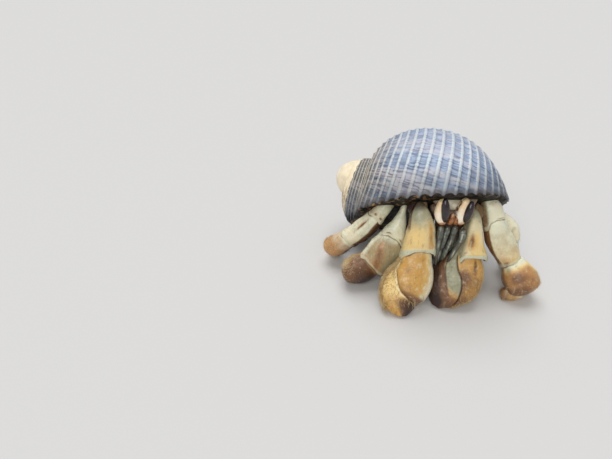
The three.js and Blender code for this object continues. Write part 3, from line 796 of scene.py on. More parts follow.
def paint_leg2_carpus(m):
    streak = Marks(m.t, m.a + 0.8 * (m.t - 0.4)).line(112, 17)
    return dict(
        gold=0.4 * m.on(40, 130, 30) * m.up(0.1, 0.4),
        tan=0.85 * m.up(0.02, 0.25) * m.on(34, 160, 40),
        green=0.5 * m.on(40, 84, 40) * m.up(0.15, 0.35) + 0.3 * m.up(0.3, 0.1),
        warm=0.85 * streak * m.up(0.1, 0.3) + 0.45 * m.up(0.6, 0.95),
        # The brown and near-black on its back and inner side, away from the light, are painted shade;
        # the streak is its own.
        brown_and_shade=0.65 * streak * m.up(0.2, 0.4) + 0.95 * m.on(-90, 30, 24),
        pale=0.3 * m.on(30, 52, 20),
        shade_and_joint=0.5 * m.on(-70, 22, 24),
    )


# How much of each colour shows on a segment, which takes its own entry, or its part's. Much of the brown
# and near-black on undersides, inner faces and parts under the shell is painted shade.
PAINT = {
    # The basal segments are painted brown and near-black: painted shade in the gaps under the shell.
    "basal": lambda m: dict(brown_and_shade=0.9, shade_and_joint=0.8),
    "cheliped_merus": paint_claw_merus,
    "cheliped_right_carpus": lambda m: dict(
        green=0.95 * m.up(0.66, 0.1) * (0.4 + 0.6 * m.line(115, 75)),
        gold=1.05 * m.up(0.1, 0.5) * m.up(0.9, 0.8) * (0.4 + 0.6 * m.line(125, 60)),
        warm=(0.9 * m.line(60, 15) * m.up(0.2, 0.5) + 0.12 * m.up(0.3, 0.6)) * m.up(0.9, 0.78),
        pale=0.8 * m.line(22, 18) * m.up(0.35, 0.6),
        # The brown and near-black up its right side and at its top are painted shade; the small brown
        # spot is its own.
        brown_and_shade=0.9 * m.on(158, 230, 24) * m.up(0.62, 0.4) + 0.5 * m.spot(0.6, 62, 0.1, 9),
        shade_and_joint=0.7 * m.on(160, 230, 24) * m.up(0.5, 0.25) + 0.8 * m.up(0.16, 0.04),
    ),
    "cheliped_right_palm": lambda m: dict(
        green=0.25 * m.on(120, 215, 60) * m.up(0.6, 0.4),
        gold=0.1 + 0.7 * m.line(165, 45) * m.up(0.05, 0.2) + 0.8 * m.up(0.42, 0.66),
        warm=0.9 * m.up(0.66, 0.88) + 0.5 * m.line(350, 50),
        brown_and_shade=0.98 * m.up(0.70, 0.84) * m.on(-40, 104, 60) + 0.6 * m.line(270, 50),
        shade_and_joint=0.85 * m.up(0.76, 0.88) * m.on(-40, 90, 50),
        pale=0.5 * m.line(160, 40) * m.up(0.6, 0.3),
    ),
    "cheliped_right_dactyl": lambda m: dict(
        gold=0.85,
        warm=((0.98 - 0.6 * m.on(150, 230, 40) * m.up(0.4, 0.2)) * m.up(0.05, 0.2) * m.on(66, 260, 44)
              + 0.45 * m.on(26, 66, 36) * m.up(0.2, 0.4)),
        green=0.35 * m.on(28, 66, 30) * m.up(0.25, 0.5),
        # The broad pale spot near its top, below the collar, is a painted highlight.
        pale=(0.85 * m.on(-60, 46, 34) + 0.5 * m.spot(0.08, 70, 0.07, 50)
              + 0.45 * m.spots([(0.24, 62), (0.31, 52), (0.4, 66), (0.42, 48), (0.52, 56),
                                (0.58, 72), (0.65, 50)], 0.035, 5)),
        brown_and_shade=(0.9 * m.up(0.58, 0.80) * m.on(10, 130, 40) + 0.6 * m.spot(0.11, 76, 0.05, 14)
              + 0.2 * m.up(0.4, 0.6) + 0.42 * m.spot(0.36, 112, 0.15, 20)),
    ),
    "cheliped_left_carpus": lambda m: dict(
        green=0.75 * m.up(0.3, 0.05) + 0.8 * m.line(148, 26) + 0.5 * m.up(0.78, 0.88),
        gold=(0.8 * m.on(-60, 100, 36) + 0.3) * m.up(0.2, 0.55) * m.up(0.94, 0.82),
        warm=m.spot(0.55, 108, 0.20, 27),
        brown_and_shade=0.85 * m.spot(0.52, 108, 0.15, 15) + 0.5 * m.spot(0.76, 122, 0.07, 14),
        pale=0.5 * m.on(-40, 70, 40) * m.up(0.1, 0.3) * m.up(0.7, 0.5),
        shade_and_joint=0.5 * m.on(140, 240, 30) * m.up(0.4, 0.15),
    ),
    "cheliped_left_palm": lambda m: dict(
        gold=0.6,
        tan=0.35 * m.up(0.35, 0.6),
        warm=0.98 * m.up(0.06, 0.2) * m.on(16, 200, 40) + 0.5,
        # The brown over its inner side, turned from the light, is painted shade; the spot and the streak
        # are its own marks.
        brown_and_shade=(0.95 * m.spot(0.22, 56, 0.12, 9) + 0.5 * m.up(0.22, 0.45) + 0.6 * m.up(0.55, 0.9)
              + 0.8 * m.on(150, 300, 40) + 0.45 * m.line(80, 18) * m.up(0.16, 0.4)),
        pale=(0.6 * m.line(2, 20) + 0.55 * m.up(0.18, 0.05) * m.on(50, 120, 40)
              + 0.4 * m.spots([(0.3, 60), (0.4, 66), (0.45, 50), (0.52, 60), (0.36, 74)], 0.03, 4)),
    ),
    "cheliped_left_dactyl": paint_left_finger,
    "merus": lambda m: dict(
        green=0.2 + 0.4 * m.up(0.5, 0.0),
        # The broad brown on the side turned from the light is painted shade; the spots by the far joint
        # are its own.
        brown_and_shade=(0.75 * m.on(-80, 10, 40) + 0.95 * m.spot(0.86, 126, 0.04, 16)
              + 0.95 * m.spot(0.9, 66, 0.03, 12)),
        warm=0.6 * m.spot(0.86, 126, 0.08, 26) + 0.6 * m.spot(0.9, 66, 0.06, 20),
    ),
    "leg2_left_merus": lambda m: dict(
        # The olive, brown and near-black over its inner side are painted shade.
        green=0.35 * m.up(0.5, 0.0) + 0.7 * m.on(132, 300, 16),
        brown_and_shade=0.62 * m.on(140, 300, 16) + 0.9 * m.spot(0.88, 70, 0.03, 26),
        shade_and_joint=0.5 * m.on(166, 300, 20),
        pale=0.45 * m.on(-40, 120, 30) * m.up(0.1, 0.35),
        warm=0.4 * m.spot(0.86, 84, 0.06, 20),
    ),
    "leg3_right_merus": lambda m: dict(
        # The olive towards its top is painted shade under the shell's lip, and the brown underneath is
        # painted shade; the spots near the far joint are its own.
        green=0.8 * m.up(0.9, 0.3),
        tan=0.5 * m.up(0.4, 0.8),
        brown_and_shade=(0.85 * m.on(-80, 22, 30) + 0.9 * m.spot(0.82, 84, 0.06, 16)
              + 0.8 * m.spot(0.8, 132, 0.07, 18) + 0.5 * m.line(60, 12) * m.up(0.5, 0.8)),
    ),
    "leg2_right_carpus": paint_leg2_carpus,
    "leg2_right_propodus": lambda m: dict(
        gold=0.3 * m.up(0.6, 0.9),
        tan=0.9,
        warm=0.8 * m.up(0.15, 0.4) * m.on(-60, 140, 40) + 0.3,
        brown_and_shade=0.98 * m.on(-100, 182, 50) * m.up(0.04, 0.2) * (0.7 + 0.3 * m.up(1.0, 0.75)),
        shade_and_joint=0.9 * m.on(-90, 84, 44) * m.up(0.08, 0.28) + 0.45 * m.spot(0.45, 100, 0.26, 34),
    ),
    "leg3_right_carpus": lambda m: dict(
        tan=0.3 * m.on(146, 220, 20),
        # The brown and near-black band along its underside is painted shade; the brown groove is its
        # own.
        brown_and_shade=0.95 * m.spot(0.36, 146, 0.24, 9) + m.on(-100, 90, 14),
        warm=0.5 * m.spot(0.4, 150, 0.32, 24),
        pale=0.6 * m.up(0.4, 0.7),
        gold=0.25 * m.up(0.5, 0.8),
        shade_and_joint=0.75 * m.on(-90, 80, 20),
    ),
    "leg3_right_propodus": lambda m: dict(
        gold=0.8 * m.up(0.5, 0.85),
        warm=(0.6 * m.up(0.05, 0.2) + 0.3 * m.up(0.3, 0.6)
              + 0.3 * m.up(0.6, 0.9) * m.on(60, 130, 40)),
        pale=0.4 * m.up(0.2, 0.05),
        # The brown and near-black along its underside are painted shade.
        brown_and_shade=0.95 * m.on(-100, 74, 22),
        shade_and_joint=0.6 * m.on(-80, 62, 24),
    ),
    "leg2_left_carpus": lambda m: dict(
        tan=0.32 * m.on(20, 130, 50) * m.up(0.05, 0.3),
        gold=0.25 * m.up(0.1, 0.4) + 0.4 * m.up(0.4, 0.9),
        warm=0.25 * m.up(0.5, 0.9) + 0.3 * m.line(120, 26) * m.up(0.3, 0.6),
        # The brown and near-black over its inner side are painted shade; the spot by the far joint is
        # its own.
        brown_and_shade=0.98 * m.on(140, 300, 16) + 0.95 * m.spot(0.90, 118, 0.06, 22),
        shade_and_joint=0.35 * m.on(154, 300, 20),
    ),
    "leg2_left_propodus": lambda m: dict(
        gold=0.9 * m.up(0.08, 0.25),
        warm=0.98 * m.up(0.12, 0.36) * m.on(34, 200, 50) + 0.3 * m.up(0.5, 0.9),
        green=0.7 * m.spot(0.2, 138, 0.12, 22),
        # Of this brown, the part over its inner side is painted shade; the brown centre is its own.
        brown_and_shade=(0.8 * m.spot(0.42, 108, 0.18, 32) + 0.35 * m.up(0.3, 0.6)
              + 0.7 * m.up(0.6, 0.85) * m.on(95, 230, 60) + 0.6 * m.on(165, 300, 30)),
        pale=0.7 * m.on(-60, 20, 30),
    ),
    "leg3_left_carpus": lambda m: dict(
        gold=0.35 * m.up(0.3, 0.7),
        green=0.7 * m.line(130, 25),
        pale=0.6 * m.on(-60, 100, 30),
        # The brown over its inner side is painted shade.
        brown_and_shade=0.7 * m.on(160, 300, 40),
    ),
    "leg3_left_propodus": lambda m: dict(
        gold=0.6 * m.up(0.2, 0.6),
        warm=0.8 * m.up(0.5, 0.9),
        # The brown over its inner side is painted shade.
        brown_and_shade=0.7 * m.on(160, 300, 40),
    ),
    "dactyl": lambda m: dict(
        gold=0.8, warm=0.6,
        pale=0.5 * m.up(0.55, 0.3) * m.on(60, 200, 50),
        brown_and_shade=0.28 + 0.5 * m.up(0.5, 0.9),
    ),
}


def limb_colours(limb, part, t, a):
    """How much of each colour shows at the points of a segment."""
    names = (f"{limb}_{part}", f"{limb.split('_')[0]}_{part}", part)
    found = next(PAINT[name] for name in names if name in PAINT)(Marks(t, a))
    return {mask: found.get(mask, 0) + 0 * t for mask in MASKS}


# Where a segment's ends begin to close, as shares of its length, by part.
CAPS = {"carpus": (0.1, 0.14), "palm": (0.1, 0.14), "propodus": (0.1, 0.2)}


def shape(part, path, wide, deep, **more):
    """A segment's name, and what loft takes: widths and depths run from its start to its end."""
    return part, {"path": path, "wide": wide, "deep": deep, "cap": CAPS.get(part, (0.2, 0.14)), **more}


LIMBS = {
    "cheliped_right": dict([
        shape("basal", [(-2.4, -8.4, 12.2), (-4.6, -9.4, 13.8)], [2.4, 2.8], [2.4, 2.8]),
        shape("merus", [(-4.2, -9.2, 13.4), (-5.4, -10.0, 15.6), (-6.0, -11.2, 17.6)],
              [2.4, 3.2, 3.4], [2.2, 3.2, 3.4]),
        shape("carpus", [(-5.9, -11.6, 18.4), (-5.2, -12.9, 13.8), (-5.1, -13.2, 9.0)],
              [2.6, 4.6, 6.4], [2.8, 4.6, 4.8], cap=(0.25, 0.12),
              edge=[(0, 1.7), (18, 1.6), (36, 0.0), (60, -0.8), (90, -1.35), (112, -1.15),
                    (135, -0.1), (160, 1.5), (185, 2.2), (215, 1.4), (270, 0), (330, 0.8)]),
        shape("palm", [(-5.1, -12.6, 11.2), (-6.0, -15.1, 5.8), (-8.1, -17.8, 2.6), (-8.1, -20.7, 0.2)],
              [3.8, 5.0, 7.5, 7.0, 3.2], [3.2, 4.4, 4.8, 3.8, 1.6]),
    ]),
    "cheliped_left": dict([
        shape("basal", [(2.4, -8.4, 12.2), (3.8, -9.2, 13.2)], [2.4, 2.8], [2.4, 2.8]),
        shape("merus", [(3.4, -9.0, 13.0), (4.0, -9.8, 14.6), (4.2, -10.8, 16.4)],
              [2.4, 3.2, 3.4], [2.2, 3.2, 3.4]),
        shape("carpus", [(3.7, -11.4, 17.0), (3.9, -12.8, 12.2), (4.1, -13.4, 7.4)],
              [2.2, 3.5, 6.3], [2.8, 4.6, 5.2], cap=(0.25, 0.12),
              edge=[(0, 0.8), (30, -0.2), (60, -1.1), (90, -1.5), (118, -1.4), (134, -0.2),
                    (152, 2.7), (168, 1.5), (190, 0.9), (215, 0.4), (270, 0)]),
        shape("palm", [(4.0, -12.7, 9.8), (2.6, -14.7, 5.2), (0.3, -16.3, 2.4), (-1.6, -17.9, 0.2)],
              [3.8, 6.6, 8.8, 7.0, 3.0], [3.4, 4.8, 5.2, 4.0, 1.8], side=(0.93, -0.37, 0)),
    ]),
    "leg2_right": dict([
        shape("basal", [(-4.0, -6.6, 13.4), (-7.0, -7.5, 15.9)], [2.2, 2.8], [2.2, 2.6]),
        shape("merus", [(-7.4, -8.2, 16.4), (-8.3, -9.7, 13.2), (-9.5, -10.7, 9.6)],
              [1.2, 1.2, 2.4, 4.1, 5.1], [1.6, 1.8, 2.6, 3.2, 3.2],
              edge=[(0, 1.4), (45, 0.5), (80, -0.5), (120, -0.9), (150, -0.4), (180, 0.3), (270, 0)]),
        shape("carpus", [(-9.3, -10.5, 11.0), (-11.1, -11.2, 7.0), (-13.2, -11.6, 4.2)],
              [4.2, 6.2, 5.6], [2.8, 4.0, 3.8],
              edge=[(0, 0.3), (60, 0.0), (100, -0.6), (140, -0.8), (180, 0), (270, 0.2)]),
        shape("propodus", [(-12.4, -11.2, 5.1), (-15.4, -11.2, 3.2), (-18.2, -10.8, 2.5)],
              [4.9, 6.1, 5.2], [3.4, 4.8, 4.2]),
        shape("dactyl", [(-17.4, -10.4, 2.4), (-15.4, -9.0, 1.3), (-12.2, -8.2, 0.0)],
              [1.9, 2.1, 1.7, 1.2, 0.7], [1.9, 2.1, 1.6, 1.1, 0.7]),
    ]),
    "leg2_left": dict([
        shape("basal", [(3.8, -7.0, 13.8), (6.2, -7.6, 16.0)], [2.2, 2.8], [2.2, 2.6]),
        shape("merus", [(6.5, -8.0, 17.0), (7.4, -9.8, 16.0), (8.1, -11.0, 13.6)],
              [2.6, 3.4, 3.6], [2.4, 3.2, 3.2],
              edge=[(0, -0.2), (45, -0.5), (90, -0.7), (125, -0.3), (150, 1.0), (180, 1.3),
                    (215, 0.5), (270, 0)]),
        shape("carpus", [(7.5, -10.8, 14.9), (9.7, -11.9, 10.2), (12.3, -12.8, 5.9)],
              [3.2, 4.7, 3.8], [2.9, 3.8, 3.8],
              edge=[(0, 0.2), (60, -0.3), (110, -0.6), (150, -0.2), (180, 0.2), (270, 0)]),
        shape("propodus", [(12.0, -12.7, 7.0), (13.7, -14.4, 4.0), (15.0, -16.2, 1.6)],
              [3.5, 6.0, 5.6], [3.4, 5.4, 5.0]),
        shape("dactyl", [(14.6, -15.6, 1.9), (12.6, -15.6, 1.2), (10.6, -15.2, 0.8)],
              [2.2, 2.6, 1.8], [2.2, 2.6, 2.0]),
    ]),
    "leg3_right": dict([
        shape("basal", [(-4.6, -4.8, 14.7), (-8.0, -6.4, 16.8)], [2.0, 2.6], [2.0, 2.4]),
        shape("merus", [(-8.6, -7.1, 17.0), (-11.0, -8.1, 15.0), (-12.5, -8.1, 12.6)],
              [1.8, 2.4, 2.9], [2.0, 2.6, 3.0],
              edge=[(0, 0.5), (60, 0.2), (100, -0.5), (150, -0.5), (180, 0), (270, 0)]),
        shape("carpus", [(-11.7, -8.0, 13.6), (-14.3, -7.0, 9.4), (-16.9, -5.8, 6.1)],
              [3.1, 4.2, 4.1], [2.6, 3.4, 3.4],
              edge=[(0, 0.3), (60, 0.1), (110, -0.5), (150, -0.5), (180, 0), (270, 0)]),
        shape("propodus", [(-16.2, -6.1, 7.0), (-18.7, -4.8, 4.2), (-20.5, -3.8, 2.1)],
              [3.6, 4.3, 4.1], [3.0, 4.0, 3.8]),
        shape("dactyl", [(-20.1, -3.6, 2.7), (-18.8, -2.0, 1.4), (-16.0, -0.7, 0.0)],
              [1.9, 2.1, 1.7, 1.2, 0.7], [1.9, 2.1, 1.6, 1.1, 0.7]),
    ]),
    "leg3_left": dict([
        shape("basal", [(4.6, -4.8, 14.9), (6.9, -5.2, 16.4)], [2.0, 2.6], [2.0, 2.4]),
        shape("merus", [(7.0, -5.8, 16.5), (7.9, -7.1, 14.8), (9.6, -7.8, 12.5)],
              [2.2, 2.6, 2.8], [2.2, 2.6, 2.8], edge=[(0, 0), (80, -0.4), (160, 0), (270, 0)]),
        shape("carpus", [(9.1, -7.7, 13.3), (12.4, -7.6, 10.2), (13.6, -7.8, 7.0)],
              [2.5, 3.4, 3.3], [2.4, 3.0, 3.0], edge=[(0, 0), (80, -0.4), (160, 0), (270, 0)]),
        shape("propodus", [(13.3, -7.7, 7.9), (13.7, -8.1, 4.8), (14.2, -8.6, 1.7)],
              [3.0, 3.8, 3.4], [2.7, 3.6, 3.2]),
        shape("dactyl", [(14.0, -8.2, 2.8), (14.4, -6.2, 1.4), (14.7, -3.8, 0.0)],
              [1.8, 2.0, 1.6, 1.1, 0.7], [1.8, 2.0, 1.5, 1.0, 0.7]),
    ]),
}


def relief(name, s):
    """The height in mm of the cuticle's relief on one segment."""
    m = Marks(s.fields["t"], s.fields["a"])
    knobs = 0.06 * smooth(0.35, 1.3, ripple(s.points, 0.9, 5))
    knobs = knobs + 0.03 * smooth(0.3, 1.1, ripple(s.points, 0.5, 6))
    swell = 0.05 * ripple(s.points, 3.4, 9)
    if name == "palm":
        return swell + 1.2 * knobs * m.up(0.15, 0.35)
    if name == "leg3_right_carpus":
        return swell - 0.22 * m.spot(0.36, 142, 0.26, 9) + 0.09 * m.spot(0.42, 120, 0.3, 10)
    if name == "leg2_right_carpus":
        groove = Marks(m.t, m.a + 0.8 * (m.t - 0.4)).line(118, 8)
        return swell - 0.12 * groove * m.up(0.15, 0.3) * m.up(0.85, 0.7)
    # These two reach out to the left claw, so that no light shows between.
    if name == "leg2_left_merus":
        swell = swell + 0.34 * m.line(180, 38) * m.up(0.3, 0.6)
    if name == "leg2_left_carpus":
        swell = swell + 0.30 * m.line(180, 38) * m.up(0.12, 0.2) * m.up(0.55, 0.35)
    return swell + 0.35 * knobs


def segment(limb, part, sizes):
    """One segment's fine surface, with its relief and its colours as fields."""
    s = loft(**sizes)
    t, a, rim = (s.fields[k] for k in ("t", "a", "rim"))
    outside = smooth(0.3, 0.0, rim)
    s.push(relief(f"{limb}_{part}", s) * outside * smooth(1.0, 0.9, t))
    fields = limb_colours(limb, part, t, a)
    if "edge" in sizes:
        # A pale raised collar ends the segment, and its socket is painted near-black: the dark joint
        # with painted shade in the recess.
        on_claw = limb.startswith("cheliped")
        first, last, height, most = (0.81, 0.87, 0.12, 1.0) if on_claw else (0.84, 0.90, 0.05, 0.55)
        collar = smooth(first, last, t + 0.02 * np.sin(3 * a))
        s.push(height * collar * smooth(0.9, 0.1, rim))
        fields["collar"] = most * collar * outside
        fields["shade_and_joint"] = np.maximum(fields["shade_and_joint"], smooth(0.22, 0.45, rim))
    s.fields.update(fields)
    return s


def shade_joint(before, after, field, most):
    """Paints shade on a segment along the rim of the socket that it starts in, as if the rim shaded it.
    """
    rim = before.points[(before.fields["rim"] > 0.1) & (before.fields["rim"] < 0.45)]
    near = np.full(len(after.points), 9.0)
    for i in np.flatnonzero(after.fields["t"] < 0.35):
        near[i] = np.min(np.linalg.norm(rim - after.points[i], axis=1))
    after.fields[field] = np.maximum(after.fields[field], most * smooth(0.36, 0.1, near))


ROUND_PALM, ALONG_PALM = 0.058, 14  # mm in a degree round the palm, and in the whole of its length


def inside_finger(side, t, a):
    """How far in mm a point on the palm lies inside the outline of its movable finger."""
    f = FINGERS[side]
    degrees = turn_from(a, 90) + 90
    across = f["way"] * (np.interp(t, f["at"], f["line"]) - degrees) * ROUND_PALM
    back = f["way"] * (degrees - f["far"]) * ROUND_PALM
    return np.minimum.reduce([across, back, (t - 0.03) * ALONG_PALM, (f["end"] - t) * ALONG_PALM])


def claw(limb, sizes):
    """The palm with its fixed finger, and the movable finger that lies along it."""
    side = limb.split("_")[1]
    line, wide, brown_and_shade = (0.3, 0.24, 0.7) if side == "left" else (0.62, 0.1, 0.4)
    found = {}
    for part in ("palm", "dactyl"):
        s = loft(**sizes, cols=150, rows=170)
        t, a = s.fields["t"], s.fields["a"]
        inside = inside_finger(side, t, a)
        height = relief("palm", s) * smooth(1.0, 0.92, t) * smooth(0.05, 0.4, np.abs(inside))
        if part == "palm":
            height += 0.07 * hill(inside, -0.3, 0.3) - 0.5 * smooth(-0.12, 0.1, inside)
            edge = line * hill(inside, -0.34, 0.3)
        else:
            height = 0.7 * height + 0.42 * (1 - np.exp(-np.maximum(inside, 0) / 0.55)) - 0.08
            height -= 1.4 * smooth(0.02, -0.5, inside)
            edge = 0.2 * hill(inside, 0.3, 0.3)
        s.push(height)
        fields = limb_colours(limb, part, t, a)
        fields["pale"] = np.maximum(fields["pale"], edge * smooth(0.9, 0.75, t))
        # The groove between the fingers is painted near-black: painted shade in the crease.
        groove = brown_and_shade * smooth(wide, 0.0, np.abs(inside + 0.04))
        fields["shade_and_joint"] = np.maximum(fields["shade_and_joint"], groove)
        s.fields.update(fields)
        found[f"{limb}_{part}"] = s
    return found


# ---------------------------------------------------------------- the head

# Widths and depths from the base to the tip, and the path on each side.
HEAD = {
    "eyestalk": (dict(wide=[1.5, 2.1, 1.3], deep=[1.5, 2.0, 1.4]), {
        "right": [(-1.7, -13.3, 15.0), (-2.5, -13.4, 17.2), (-2.4, -13.2, 20.0)],
        "left": [(1.2, -13.4, 15.0), (0.9, -13.5, 17.6), (1.4, -13.3, 20.2)]}),
    "cornea": (dict(wide=[1.1, 1.4, 1.1], deep=[1.2, 1.6, 1.2], cap=(0.3, 0.3)), {
        "right": [(-1.7, -14.0, 15.9), (-2.1, -14.3, 18.3), (-2.4, -14.0, 20.6)],
        "left": [(1.5, -14.0, 15.9), (1.7, -14.3, 18.0), (2.1, -14.0, 20.1)]}),
    "antennule_peduncle": (dict(wide=[1.1, 1.1, 1.0], deep=[1.2, 1.1, 1.0]), {
        "right": [(-0.7, -13.3, 14.6), (-1.1, -13.4, 12.0), (-1.4, -13.3, 9.4)],
        "left": [(0.6, -13.3, 14.6), (0.3, -13.4, 12.0), (-0.2, -13.3, 9.4)]}),
    "antennule_flagellum": (dict(wide=[0.95, 0.9, 0.6], deep=[0.95, 0.9, 0.6], cap=(0.1, 0.2)), {
        "right": [(-1.38, -13.3, 9.9), (-1.5, -13.3, 7.6), (-1.55, -13.2, 5.4)],
        "left": [(-0.15, -13.3, 9.9), (-0.45, -13.2, 8.0), (-0.75, -13.1, 6.1)]}),
    "antenna_peduncle": (dict(wide=[1.1, 1.1, 0.85], deep=[1.2, 1.1, 0.85]), {
        "right": [(-1.9, -13.3, 14.8), (-2.1, -13.9, 13.4), (-2.2, -14.2, 11.8)],
        "left": [(1.7, -13.6, 14.4), (1.7, -14.2, 13.2), (1.4, -14.4, 11.8)]}),
    "antenna_flagellum": (dict(wide=[0.85, 0.75, 0.55], deep=[0.85, 0.75, 0.55], cap=(0.1, 0.2)), {
        "right": [(-2.2, -14.2, 12.3), (-2.2, -14.4, 9.6), (-2.0, -14.5, 6.8)],
        "left": [(1.45, -14.4, 12.3), (0.7, -14.5, 9.9), (-0.1, -14.5, 7.4)]}),
    "maxilliped": (dict(wide=[2.2, 2.8, 2.2], deep=[1.6, 1.7, 1.3]), {
        "right": [(-1.0, -10.8, 12.8), (-1.3, -11.6, 10.0), (-1.2, -12.2, 6.4)],
        "left": [(1.5, -10.8, 12.8), (1.3, -11.4, 10.0), (0.9, -11.8, 7.6)]}),
}
# The small scales between the eyestalks' bases.
ACICLES = {
    "right": [(-0.8, -13.4, 15.0), (-0.6, -13.9, 16.4), (-0.55, -13.8, 17.8)],
    "left": [(0.35, -13.4, 15.0), (0.2, -13.9, 16.4), (0.3, -13.8, 17.6)],
}
RING_STEP = 0.42  # mm from ring to ring of a feeler's lash


def head_piece(part, side):
    """A fine eyestalk, cornea, feeler or mouthpart, and its masks."""
    sizes, paths = HEAD[part]
    s = loft(paths[side], **sizes, cols=32, rows=70)
    t, a = s.fields["t"], s.fields["a"]
    if "flagellum" in part:
        s.push(-0.004 * (1 + np.cos(TAU * t * s.length / RING_STEP)))
    s.fields["joint"] = 0 * t
    if "peduncle" in part or part == "maxilliped":
        for at in (0.3, 0.72):
            s.push(-0.05 * hill(t, at, 0.03))
            s.fields["joint"] += 0.6 * hill(t, at, 0.03)
    # A pale streak along the front of each is a painted highlight.
    s.fields["ridge"] = stripe(a, 105, 24) * smooth(0.02, 0.15, t)
    s.fields["low"] = t if "flagellum" in part else 0 * t
    if part == "eyestalk":
        s.fields["inner"] = stripe(a, 0 if side == "right" else 180, 60)
    return s


def acicle(side):
    s = loft(ACICLES[side], [0.8, 0.9, 0.6], [0.7, 0.8, 0.4], cap=(0.2, 0.4), cols=28, rows=40)
    s.fields["inner"] = 1 + 0 * s.fields["t"]
    s.fields["t"] = 0.15 * s.fields["t"]  # the brown of an eyestalk's base
    return s


def shield_surface():
    s = loft([(0.1, -12.8, 17.6), (0.2, -9.0, 19.3), (0.3, -4.4, 20.6)],
             [6.4, 8.2, 8.6, 7.2], [1.6, 2.2, 2.2, 1.8], cols=96, rows=110)
    t, a = s.fields["t"], s.fields["a"]
    groove = hill(t, 0.62 - 0.12 * np.cos(a) ** 2, 0.03)
    groove = groove + 0.6 * stripe(a, 270, 5) * smooth(0.1, 0.3, t)
    grains = 0.05 * ripple(s.points, 1.1, 21) + 0.04 * smooth(0.3, 1.2, ripple(s.points, 0.5, 22))
    s.push(grains - 0.14 * groove)
    s.fields["corner"] = smooth(1.7, 2.9, np.abs(s.points[:, 0] - 0.1)) * smooth(0.5, 0.3, t)
    return s


# ---------------------------------------------------------------- the soft body

SMALL_LEGS = [  # the two pairs that hold the shell
    [(-3.0, -4.2, 16.8), (-6.6, -4.6, 18.7), (-7.5, -6.2, 19.3)],
    [(3.2, -4.0, 16.8), (6.4, -3.9, 18.5), (7.1, -5.3, 18.9)],
    [(-3.0, -2.6, 17.6), (-5.9, -1.5, 19.3), (-6.9, -2.7, 20.1)],
    [(3.2, -2.0, 17.8), (6.1, -1.0, 19.3), (6.9, -2.1, 20.1)],
]
SKIN_VOXEL = 0.22


def soft_body():
    """The thorax, the abdomen and the legs that hold the shell, as one skin a little inside
    their solids, with the flesh behind the mouth."""
    bodies = [
        ([(0.0, -12.2, 14.9), (0.1, -9.0, 16.3), (0.3, -3.4, 18.2)],
         [5.4, 6.8, 7.6, 6.2], [3.8, 4.8, 5.0, 4.6]),
        ([(0.4, -4.6, 18.3), (1.0, 1.8, 19.3), (1.3, 6.6, 16.4), (-0.6, 9.4, 11.0), (-3.6, 8.6, 7.0)],
         [5.6, 7.4, 7.0, 5.4, 2.8], [4.4, 6.0, 5.8, 4.6, 2.4]),
        *((path, [1.2, 1.4, 0.8], [1.2, 1.4, 0.8]) for path in SMALL_LEGS),
        ([(0.0, -10.2, 16.2), (-0.1, -11.6, 13.6), (-0.1, -11.2, 10.8)],
         [4.6, 4.8, 3.4], [2.8, 2.6, 1.6]),
    ]
    points, faces = [], []
    for body in bodies:
        s = loft(*body, cols=32, rows=40)
        faces += [[i + len(points) for i in f] for f in s.faces]
        points.extend(s.points)
    body = mesh_object("work", points, faces)
    remesh = body.modifiers.new("remesh", "REMESH")
    remesh.mode, remesh.voxel_size = "VOXEL", SKIN_VOXEL
    soften = body.modifiers.new("soften", "SMOOTH")
    soften.factor, soften.iterations = 0.5, 8
    points, faces = evaluated(body)
    y, z = points[:, 1], points[:, 2]
    s = Surface(points, faces, {"face": smooth(-8.5, -10.5, y) * smooth(14.6, 15.8, z)})
    # The abdomen's soft rings.
    s.push(0.08 * smooth(-3, 2, y) * (np.sin(y * 2.4 + z * 1.1) - 1))
    return s


# ---------------------------------------------------------------- setae

# A hair's corners are three at its root, three midway and its tip. Its patch of the OFBake
# map has a place for each.
HAIR_FACES = [(0, 1, 4, 3), (1, 2, 5, 4), (2, 0, 3, 5), (3, 4, 6), (4, 5, 6), (5, 3, 6), (2, 1, 0)]
HAIR_PATCH = np.array([(0, 0), (1, 0), (0.5, 0), (0, 0.6), (1, 0.6), (0.5, 0.6), (0.5, 1)]) - 0.5
PATCH_SIZE, TILE_MARGIN = 0.003, 0.02
ROOT_DEPTH = 0.04  # mm
LEAN_OUT, LEAN_FORWARD, LEAN_SPREAD = 0.9, 0.6, 0.28  # shares of a hair's direction
SHORTEST, LONGEST = 0.55, 1.25  # shares of the length that its host states


